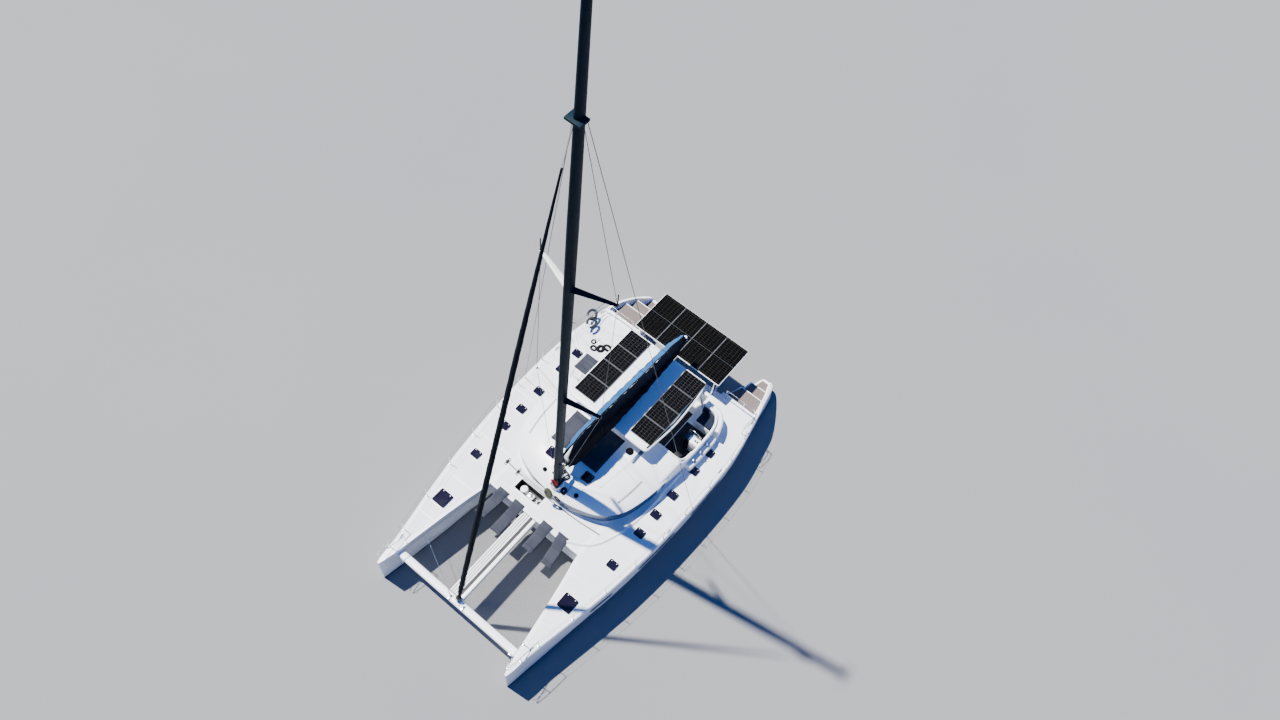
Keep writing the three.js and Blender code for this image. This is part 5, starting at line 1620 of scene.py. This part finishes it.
stay_bm, drum_bm, line_bm = shapes(3)
tube(stay_bm, [up_stay(0.004), STAY_HEAD - stay_way * 0.004], STAY_RADIUS, 12)
DRUM = [(0.105, 0.03), (0.11, 0.108), (0.125, 0.11), (0.13, 0.075), (0.235, 0.075), (0.24, 0.11),
        (0.255, 0.108), (0.26, 0.045), (0.33, 0.03)]
skin(drum_bm, [stay_ring(at, radius, 32) for at, radius in DRUM])
skin(line_bm, [stay_ring(0.131 + 0.1035 * k / 40, 0.088 + 0.006 * (k % 2), 28) for k in range(41)])
slab(stay_bm, (-0.02, -7.16, 1.6003), (0.02, -7.08, 1.68), 0.006)
piece("forestay_wire", (stay_bm, steel), (drum_bm, black_plastic), (line_bm, rope_white), slot="stainless",
      replaces=["forestay"])

# %% Furled headsail
ROLL_SIDES, ROLL_ROWS, ROLL_TURNS = 36, 420, 26
rings = []
for at in np.linspace(0.36, 19.7, ROLL_ROWS):
    radius = float(np.interp(at, ROLL_PROFILE[:, 0], ROLL_PROFILE[:, 1]))
    ring = []
    for turn in angles(ROLL_SIDES):
        ridge = (turn / (2 * math.pi) + at * ROLL_TURNS / 19.34) % 1
        lump = noise.noise(Vector((at * 1.7, math.cos(turn), math.sin(turn))))
        reach = radius * (0.90 + 0.085 * ridge + 0.03 * lump)
        ring.append(up_stay(at) + (stay_side * math.cos(turn) + stay_up * math.sin(turn)) * reach)
    rings.append(ring)
roll_bm, clew = shapes(2)
skin(roll_bm, rings)
for at, size in ((1.15, 0.05), (1.5, 0.03), (2.2, 0.035)):
    spot = up_stay(at) + stay_side * 0.06 + stay_up * 0.06
    ball(clew, spot, size, (1, 1, 1.6))
piece("headsail_roll", (roll_bm, sail_strip), (clew, sail_white), slot="headsail_cover",
      replaces=["furled_headsail"], angle=60)

# %% Shrouds
for name, side in SIDES:
    wire, screw = shapes(2)
    foot = Vector((side * 4.29, 1.211, DECK + 0.0003))
    head = Vector((side * 0.195, mast_at(HOUNDS).y + 0.04, HOUNDS - 0.005))
    way = (head - foot).normalized()
    tube(wire, [foot + way * 0.012, head - way * 0.012], 0.0095, 10)
    tube(screw, [foot + way * 0.06, foot + way * 0.1, foot + way * 0.34, foot + way * 0.4],
         [0.012, 0.016, 0.016, 0.010], 14)
    slab(screw, (foot.x - 0.006, foot.y - 0.03, DECK), (foot.x + 0.006, foot.y + 0.03, DECK + 0.06), 0.004)
    piece(f"shroud_wire_{name}", (wire, stay_wire), (screw, steel), slot="stainless",
          replaces=[f"shroud_{name}"])

# %% [markdown]
# ## Rope tails
# The ends of the halyards are coiled round the mast's foot, one hangs at the front of the boom, and
# four sheets end in coils on the starboard deck. Each is one rope of real length on a spiral: it comes
# in straight and winds inwards, turn beside turn, so it never cuts itself.


# %% Coils and lines
def rope_coil(name, finish, centre, across, up, wide, tall, turns, thick, body="root"):
    """One rope wound inwards in a flat oval; the length of its path is printed."""
    centre, across, up = Vector(centre), Vector(across), Vector(up)
    path = [centre + across * wide + up * (0.05 * k) for k in range(6, 0, -1)]
    for k in range(turns * 20):
        t, shrink = -2 * math.pi * k / 20, thick * 1.1 * k / 20
        path.append(centre + across * (wide - shrink) * math.cos(t) + up * (tall - shrink) * math.sin(t))
    bm = bmesh.new()
    tube(bm, path, thick / 2, 10)
    made = piece(name, (bm, finish), body=body)
    length = sum((b - a).length for a, b in zip(path, path[1:]))
    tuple(path[0])
    print(name, "is", round(length, 2), "m long")


UP, OUT, AFT = (0, 0, 1), (1, 0, 0), (0, 1, 0)
foot_y = mast_at(3.2).y - MAST_CHORD
rope_coil("rope_tail_red", rope_red, (0.03, foot_y - 0.015, 3.22), OUT, UP, 0.17, 0.22, 7, 0.016)
rope_coil("rope_tail_olive", rope_olive, (-0.02, -2.2, 2.66), OUT, (0, 0.35, 0.94), 0.2, 0.24, 8, 0.018)
rope_coil("rope_tail_dark", rope_dark, (0.33, -2.105, 2.47), OUT, UP, 0.15, 0.18, 6, 0.016)
slope = Vector((0, 0.3, roof_height(0.4, -1.6) - roof_height(0.4, -1.9))).normalized()
navy_at = (0.38, -1.78, roof_height(0.38, -1.78) + 0.02)
rope_coil("rope_tail_navy", rope_dark, navy_at, OUT, slope, 0.13, 0.15, 7, 0.013)
LEAN_ACROSS, LEAN_UP = (0.78, 0.62, 0), (-0.5, 0.65, 0.57)
rope_coil("rope_tail_black", rope_dark, (0.0, -1.29, 3.99), OUT, UP, 0.135, 0.2, 4, 0.016, "boom")
for name, x, y, wide, tall in (("fore", 0.1, -1.36, 0.16, 0.17), ("small", -0.12, -1.27, 0.13, 0.14)):
    centre = (x, y, roof_height(x, y) + 0.57 * tall + 0.02)
    rope_coil(f"rope_tail_{name}", rope_dark, centre, LEAN_ACROSS, LEAN_UP, wide, tall, 6, 0.015)
# name, x, y, height above the deck, half width, half length, turns
DECK_COILS = [("aft", -2.66, 4.5, 0.01, 0.22, 0.17, 8), ("middle", -2.86, 4.28, 0.03, 0.18, 0.2, 9),
              ("fore", -3.1, 4.12, 0.01, 0.17, 0.15, 7), ("end", -3.3, 4.36, 0.01, 0.12, 0.13, 5)]
for name, x, y, lift, *coil in DECK_COILS:
    rope_coil(f"sheet_tail_{name}", rope_dark, (x, y, DECK + lift), OUT, AFT, *coil, 0.014)

# %% [markdown]
# ## Guard rails
# Posts stand in small bases along each deck edge and carry two wires. A bent tube closes them at the
# bow. The starboard rail is the port one mirrored. The deck's small fittings follow: cleats, a low
# toe rail, the tubes at the stern, a grab rail and two ring buoys.

# %% Guard rails
POSTS_Y = [-6.5, -5.0, -3.5, -2.0, -0.5, 0.8, 2.3, 3.8, 4.9, 5.85]
RAIL_HEIGHT, RAIL_INSET, POST_RADIUS, WIRE_RADIUS = 0.65, 0.09, 0.014, 0.004
WIRE_HEIGHTS = (0.33, 0.64)
PULPIT = [(3.24, -7.3), (3.15, -7.8), (3.12, -7.86), (3.085, -7.82), (2.99, -7.3), (2.905, -6.8)]
posts = [(deck_edge(y) - RAIL_INSET, y) for y in POSTS_Y]
rail_bm, wire_bm = shapes(2)
for x, y in [*posts, PULPIT[0], PULPIT[-1]]:
    tube(rail_bm, [(x, y, DECK + 0.0003), (x, y, DECK + 0.6), (x, y, DECK + RAIL_HEIGHT)],
         [POST_RADIUS, POST_RADIUS * 0.92, POST_RADIUS * 0.7], 14)
    disc(rail_bm, (x, y, DECK + 0.0003), 0.035, 0.02, 20, bevel=0.006)
for height in WIRE_HEIGHTS:
    tube(wire_bm, [(x, y, DECK + height) for x, y in posts], WIRE_RADIUS, 8)
pulpit_line = smooth_line([posts[0], *PULPIT], 5)
tube(rail_bm, [(x, y, DECK + 0.64) for x, y in pulpit_line], POST_RADIUS, 12)
tube(rail_bm, [(x, y, DECK + 0.33) for x, y in smooth_line(PULPIT[:4], 4)], POST_RADIUS * 0.7, 10)
pair("rail", (rail_bm, steel), (wire_bm, stay_wire), node="guard_rail", slot="stainless")

# %% Cleats, toe rails and pushpits
cleats, toe, pushpit = shapes(3)
for x, y, turn in ((3.2, -6.75, 10), (4.22, -0.15, 0), (4.22, 3.1, 0), (3.95, 5.7, -15)):
    for off in (-0.05, 0.05):
        disc(cleats, (x, y + off, DECK), 0.014, 0.05, 12, top=0.01)
    way = Vector((math.sin(math.radians(turn)), math.cos(math.radians(turn)), 0))
    centre = Vector((x, y, DECK + 0.055))
    tube(cleats, [centre - way * 0.13, centre - way * 0.06, centre + way * 0.06, centre + way * 0.13],
         [0.007, 0.013, 0.013, 0.007], 10)
edge_line = [(deck_edge(y) - 0.055, y) for y in np.linspace(-7.4, 5.8, 40)]
ribbon(toe, edge_line, (-0.008, 0.008), (DECK - 0.002, DECK + 0.018), 0.005)
pushpit_line = smooth_line([(3.93, 5.0), (3.98, 5.6), (3.86, 5.83), (3.5, 5.87), (2.9, 5.87),
                            (2.45, 5.87)], 6)
for height in WIRE_HEIGHTS:
    tube(pushpit, [(x, y, DECK + height) for x, y in pushpit_line], 0.013, 12)
for x, y in (pushpit_line[0], pushpit_line[20], pushpit_line[-1]):
    tube(pushpit, [(x, y, DECK), (x, y, DECK + 0.64)], 0.013, 12)
    disc(pushpit, (x, y, DECK), 0.035, 0.02, 20, bevel=0.006)
pair("deck_fittings", (cleats, black_plastic), (toe, gelcoat), (pushpit, steel))

# %% Grab rail and ring buoys
grab, ring_bm, ring_edge_cords = shapes(3)
grab_line = smooth_line([(-2.85, 2.55), (-2.78, 2.28), (-2.58, 2.14), (-2.39, 2.25), (-2.44, 2.64)], 6)
tube(grab, [(*grab_line[0], DECK), *[(x, y, 2.3) for x, y in grab_line], (*grab_line[-1], DECK)], 0.015, 12)
piece("grab_rail_starboard", (grab, steel))
for x, y in ((-4.06, 5.12), (-3.82, 4.8)):
    place = Matrix.Translation((x, y, 2.2)) @ Matrix.Rotation(math.radians(30), 4, "Y")
    turns = [math.radians(a) for a in range(-60, 241, 12)]
    arc = [place @ Vector((0.18 * math.cos(t), 0.22 * math.sin(t), 0)) for t in turns]
    tube(ring_bm, arc, 0.05, 12)
    # Each ring gets dark cords along its inner and outer edge.
    for reach in (0.8, 1.24):
        edge = [place @ Vector((0.18 * reach * math.cos(t), 0.22 * reach * math.sin(t), 0.03))
                for t in turns]
        tube(ring_edge_cords, edge, 0.013, 8)
piece("ring_buoys", (ring_bm, pad_grey), (ring_edge_cords, black_plastic))

# %% [markdown]
# ## Below the waterline
# Rudders, saildrives and propellers keep the frame's shapes with rounder sections.

# %% Rudders, drives and propellers
DRIVE_Y, DRIVE_Z, PROP_RADIUS = 4.9, -0.98, 0.23


def foil_ring(y, z, front, aft, half):
    """A wing section on the hull's middle, blunt ahead of y and fine behind it."""
    ring = []
    for t in angles(32):
        c, s = math.cos(t), math.sin(t)
        thin = 1 if s < 0 else (1 - s) ** 0.4
        ring.append((HULL_CENTRE + half * c * thin, y + s * (aft if s > 0 else front), z))
    return ring


blade, stock = shapes(2)
# z, reach ahead of the stock, reach behind it, half thickness
levels = [(-0.5605, 0.18, 0.4, 0.045), (-0.9, 0.168, 0.34, 0.04), (-1.19, 0.15, 0.28, 0.032),
          (-1.235, 0.13, 0.24, 0.025), (-1.25, 0.11, 0.2, 0.012)]
skin(blade, [foil_ring(RUDDER_Y, *level) for level in levels])
disc(stock, (HULL_CENTRE, RUDDER_Y, -0.58), 0.04, 0.0595, 24)
pair("rudder_blade", (blade, rudder_paint), (stock, steel), body="rudder", node="rudder", slot="gelcoat")

_, leg_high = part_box("saildrive_port")
leg, pod = shapes(2)
skin(leg, [foil_ring(DRIVE_Y - 0.04, z, 0.15 * share, 0.15 * share, 0.045)
           for z, share in ((leg_high.z - 0.02, 1), (-0.8, 0.93), (DRIVE_Z, 1))])
pod_rings = smooth_line([(4.68, 0.02), (4.7, 0.045), (4.79, 0.075), (5.06, 0.072), (5.12, 0.056)], 4)
skin(pod, [[(HULL_CENTRE + r * math.cos(t), y, DRIVE_Z + r * math.sin(t))
            for t in angles(28)] for y, r in pod_rings])
skin(pod, [foil_ring(DRIVE_Y - 0.02, *level) for level in
           ((DRIVE_Z, 0.12, 0.13, 0.02), (-1.0545, 0.05, 0.09, 0.008))])
pair("drive_leg", (leg, drive_enamel), (pod, drive_enamel), node="saildrive", slot="drive_paint")
for side, sign in SIDES:
    hub, blades = shapes(2)
    centre = (sign * HULL_CENTRE, 5.1203, DRIVE_Z)
    profile = smooth_line([(0, 0.054), (0.078, 0.054), (0.11, 0.042), (0.13, 0.02)], 4)
    skin(hub, [[(centre[0] + r * math.cos(t), centre[1] + y, centre[2] + r * math.sin(t))
                for t in angles(28)] for y, r in profile])
    for k in range(3):
        rings = []
        for up, half, thick in smooth_line([(0.02, 0.03, 0.012), (0.08, 0.062, 0.01), (0.138, 0.075, 0.008),
                                            (0.214, 0.055, 0.005), (0.23, 0.018, 0.003)], 3):
            twist = 0.9 - 0.5 * up / PROP_RADIUS
            section = []
            for t in angles(16):
                u, v = half * math.cos(t), thick * math.sin(t)
                section.append(Vector((u * math.cos(twist) - v * math.sin(twist),
                                       0.0546 + u * math.sin(twist) * 0.5 + v * math.cos(twist), up)))
            spun = Matrix.Rotation(2 * math.pi * k / 3, 3, "Y")
            rings.append([spun @ p + Vector(centre) for p in section])
        skin(blades, rings)
    piece(f"propeller_blades_{side}", (hub, bronze), (blades, bronze), body=f"propeller_{side}",
          slot="bronze", replaces=[f"propeller_{side}"], angle=60)

# %% [markdown]
# ## Cushions and pads
# Every pad starts as a plain block or prism a little smaller than its place. It is remeshed into even
# faces, and cloth pressure then swells it, so its sides crown and its corners pull in. All pads swell
# in one run of the simulation. A cap holds each point near its start, so nothing grows too far.

# %% Pad blocks
PAD_VOXEL, PAD_SHRINK, PAD_PRESSURE, PAD_CAP, PAD_FRAMES = 0.018, 0.012, 4.0, 0.02, 20
pads = []


def pad(name, bm, finishes, slot, node, fill, split=None):
    """A block that will be swelled. split picks the finish of a face from its centre."""
    parts = [(bm if i == 0 else bmesh.new(), finish) for i, finish in enumerate(finishes)]
    made = piece(name, *parts, body=None)
    remesh = made.modifiers.new("remesh", "REMESH")
    remesh.mode, remesh.voxel_size, remesh.use_smooth_shade = "VOXEL", PAD_VOXEL, True
    settled(made)
    pads.append((made, slot, node, fill, split, finishes))


MAT_HALF, MAT_THICK, MAT_SEAT = 0.26, 0.085, 1.6003


def lounger_block(front_x, aft_x, front_y, aft_y):
    """A mat that lies on the net and climbs onto the deck."""
    bm = bmesh.new()
    deck, inset = DECK + 0.0003, PAD_SHRINK
    line = smooth_line([(front_y + inset, MAT_SEAT), (-3.6, MAT_SEAT), (-3.4, MAT_SEAT + 0.004),
                        (-3.11, deck - 0.002), (-3.0, deck), (aft_y - inset, deck)], 3)
    rings = []
    for y, z in line:
        x = mix(front_x, aft_x, (y - front_y) / (aft_y - front_y))
        left, right, top = x - MAT_HALF + inset, x + MAT_HALF - inset, z + MAT_THICK - inset
        rings.append([(left, y, z + 0.006), (right, y, z + 0.006), (right, y, top), (left, y, top)])
    skin(bm, rings)
    return bm


def light_front(boundary):
    """Picks the first finish ahead of a place along y and the second behind it."""
    return lambda centre: 0 if centre.y < boundary else 1


# name, x in front, x aft, y in front, y aft
LOUNGERS = [("lounger_1", 1.53, 1.325, -4.15, -2.8), ("lounger_2", 0.585, 0.585, -4.15, -2.85),
            ("lounger_3", -0.79, -0.79, -4.4, -2.9), ("lounger_4", -1.7, -1.56, -4.25, -2.9)]
for name, *place in LOUNGERS:
    pad(f"{name}_mat", lounger_block(*place), [pad_grey, pad_dark], "grey_fabric", name, 0.75,
        light_front(mix(place[2], place[3], 0.56)))


def two_blocks(node, gap):
    """Two blocks in a node's box, with a gap across its length."""
    bm, inset = bmesh.new(), PAD_SHRINK
    low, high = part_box(node)
    for first, last in ((low.y, gap), (gap, high.y)):
        slab(bm, (low.x + inset, first + inset, low.z + 0.006),
             (high.x - inset, last - inset, high.z - inset))
    return bm


SUN_MAT_GAP, SIDE_MAT_GAP = 0.3, 3.33
for side, _ in SIDES:
    node = f"sun_pad_{side}"
    pad(f"sun_mat_{side}", two_blocks(node, SUN_MAT_GAP), [pad_grey], "grey_fabric", node, 0.8)
pad("side_mat", two_blocks("side_pad", SIDE_MAT_GAP), [pad_grey, pad_dark], "grey_fabric", "side_pad", 0.8,
    light_front(SIDE_MAT_GAP))

BENCH_Z = 1.3203
cushions = bmesh.new()
for x0, y0, x1, y1 in ((-1.87, 2.61, -1.31, 3.72), (-1.87, 3.72, -1.31, 4.86), (-1.87, 4.86, -0.88, 5.42),
                       (-0.88, 4.86, 0.1, 5.42), (0.1, 4.86, 1.09, 5.42)):
    slab(cushions, (x0 + PAD_SHRINK, y0 + PAD_SHRINK, BENCH_Z + 0.006),
         (x1 - PAD_SHRINK, y1 - PAD_SHRINK, BENCH_Z + 0.078))
pad("bench_cushions", cushions, [pad_grey], "grey_fabric", "cockpit_cushions", 0.8)

helm_back = smooth_line([(2.99, 4.03), (2.87, 4.39), (2.64, 4.6), (2.24, 4.65)], 6)
seat_bm = bmesh.new()
prism(seat_bm, [(2.25, 4.04), *offset(helm_back, -0.09)], SEAT_Z + 0.008, SEAT_Z + 0.08)
ribbon(seat_bm, offset(helm_back, -0.012), (-0.07, 0), (SEAT_Z + 0.008, 2.565))
pad("helm_cushion", seat_bm, [seat_navy], "canvas", "helm_seat", 0.85)

# %% Swell all the pads
starts = {}
for made, *_ in pads:
    starts[made.name] = np.array([v.co for v in made.data.vertices])
    cloth = made.modifiers.new("swell", "CLOTH")
    cloth.settings.use_pressure = True
    cloth.settings.uniform_pressure_force = PAD_PRESSURE
    cloth.settings.effector_weights.gravity = 0
    cloth.settings.quality = 5
for frame_number in range(1, PAD_FRAMES + 1):
    bpy.context.scene.frame_set(frame_number)
for made, *_ in pads:
    settled(made)
    ends = np.array([v.co for v in made.data.vertices])
    way = ends - starts[made.name]
    reach = np.linalg.norm(way, axis=1)[:, None]
    ends = starts[made.name] + way * np.minimum(1, PAD_CAP / np.maximum(reach, 1e-9))
    for vertex, place in zip(made.data.vertices, ends):
        vertex.co = place
    print(made.name, "swelled by", round(float(np.minimum(reach, PAD_CAP).mean()) * 1000, 1), "mm")
bpy.context.scene.frame_set(1)

for made, slot, node, fill, split, finishes in pads:
    low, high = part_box(node)
    bm = bmesh.new()
    bm.from_mesh(made.data)
    bmesh.ops.smooth_vert(bm, verts=bm.verts, factor=0.5, use_axis_x=True, use_axis_y=True, use_axis_z=True)
    for vertex in bm.verts:
        if vertex.co.z < low.z + 0.001:
            vertex.co.z = low.z + 0.001
    for face in bm.faces:
        face.smooth = True
        face.material_index = split(face.calc_center_median()) if split else 0
    bm.to_mesh(made.data)
    bm.free()
    made.data.materials.clear()
    for finish in finishes:
        made.data.materials.append(finish)
    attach(made, "root")
    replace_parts(made, node)

# %% Seams across the mats
# name of the mat, places of its seams along y
SEAMS = {"lounger_1_mat": (-3.95, -3.4), "lounger_2_mat": (-3.95, -3.42), "lounger_3_mat": (-4.2, -3.56),
         "lounger_4_mat": (-4.05, -3.49), "sun_mat_port": (-0.1, 0.75), "sun_mat_starboard": (-0.1, 0.75),
         "side_mat": (3.1, 3.33, 3.55)}
piping = bmesh.new()
for name, places in SEAMS.items():
    skin_of_mat = bmesh.new()
    skin_of_mat.from_mesh(bpy.data.objects[name].data)
    tree = BVHTree.FromBMesh(skin_of_mat)
    xs = [v.co.x for v in skin_of_mat.verts]
    for y in places:
        across = np.linspace(min(xs), max(xs), 40)
        hits = [tree.ray_cast(Vector((x, y, 9)), Vector((0, 0, -1)))[0] for x in across]
        tube(piping, [hit for hit in hits if hit], 0.005, 6)
    skin_of_mat.free()
piece("mat_seams", (piping, rope_dark))

# %% [markdown]
# ## Cockpit and saloon
# What shows under the hardtop and through the glass: the benches, two tables, the soles and the
# seats inside.

# %% Benches, tables and saloon
BENCH = [(-1.88, 2.6), (-1.3, 2.6), (-1.3, 4.85), (1.1, 4.85), (1.1, 5.43), (-1.88, 5.43)]
bm = bmesh.new()
prism(bm, BENCH, SOLE + 0.0003, BENCH_Z - 0.0003)
piece("cockpit_bench", (bm, gelcoat), slot="gelcoat", replaces=["cockpit_benches"])
soles, table_bm, legs = shapes(3)
slab(soles, (-1.29, 2.12, SOLE), (1.88, 4.84, SOLE + 0.008))
slab(soles, (-1.88, -1.38, SOLE), (1.88, 1.95, SOLE + 0.008))
plate(table_bm, -0.35, 3.75, 0.95, 1.3, 1.55, 1.585, 0.12, 0.008)
plate(table_bm, -0.95, -0.2, 0.8, 1.1, 1.5, 1.53, 0.1, 0.008)
for x, y, z in ((-0.35, 3.75, 1.55), (-0.95, -0.2, 1.5)):
    disc(legs, (x, y, SOLE), 0.05, z - SOLE, 24)
    disc(legs, (x, y, SOLE), 0.16, 0.02, 32, bevel=0.006)
piece("soles", (soles, sole_wood_painted_shade), (table_bm, sole_wood_painted_shade), (legs, frame_alloy))
inside, seats = shapes(2)
for x0, y0, x1, y1 in ((0.6, -1.35, 1.85, -0.8), (1.25, -0.8, 1.85, 1.2)):
    slab(inside, (x0, y0, SOLE), (x1, y1, 1.75), 0.02)
for x0, y0, x1, y1 in ((-1.85, -1.35, -0.2, -0.9), (-1.85, -0.9, -1.4, 0.7)):
    slab(inside, (x0, y0, SOLE), (x1, y1, 1.3), 0.03)
for x0, y0, x1, y1 in ((-1.83, -1.33, -0.22, -0.88), (-1.83, -0.88, -1.38, 0.68)):
    slab(seats, (x0, y0, 1.3), (x1, y1, 1.42), 0.04, 3)
piece("saloon_furniture", (inside, gelcoat), (seats, pad_grey))
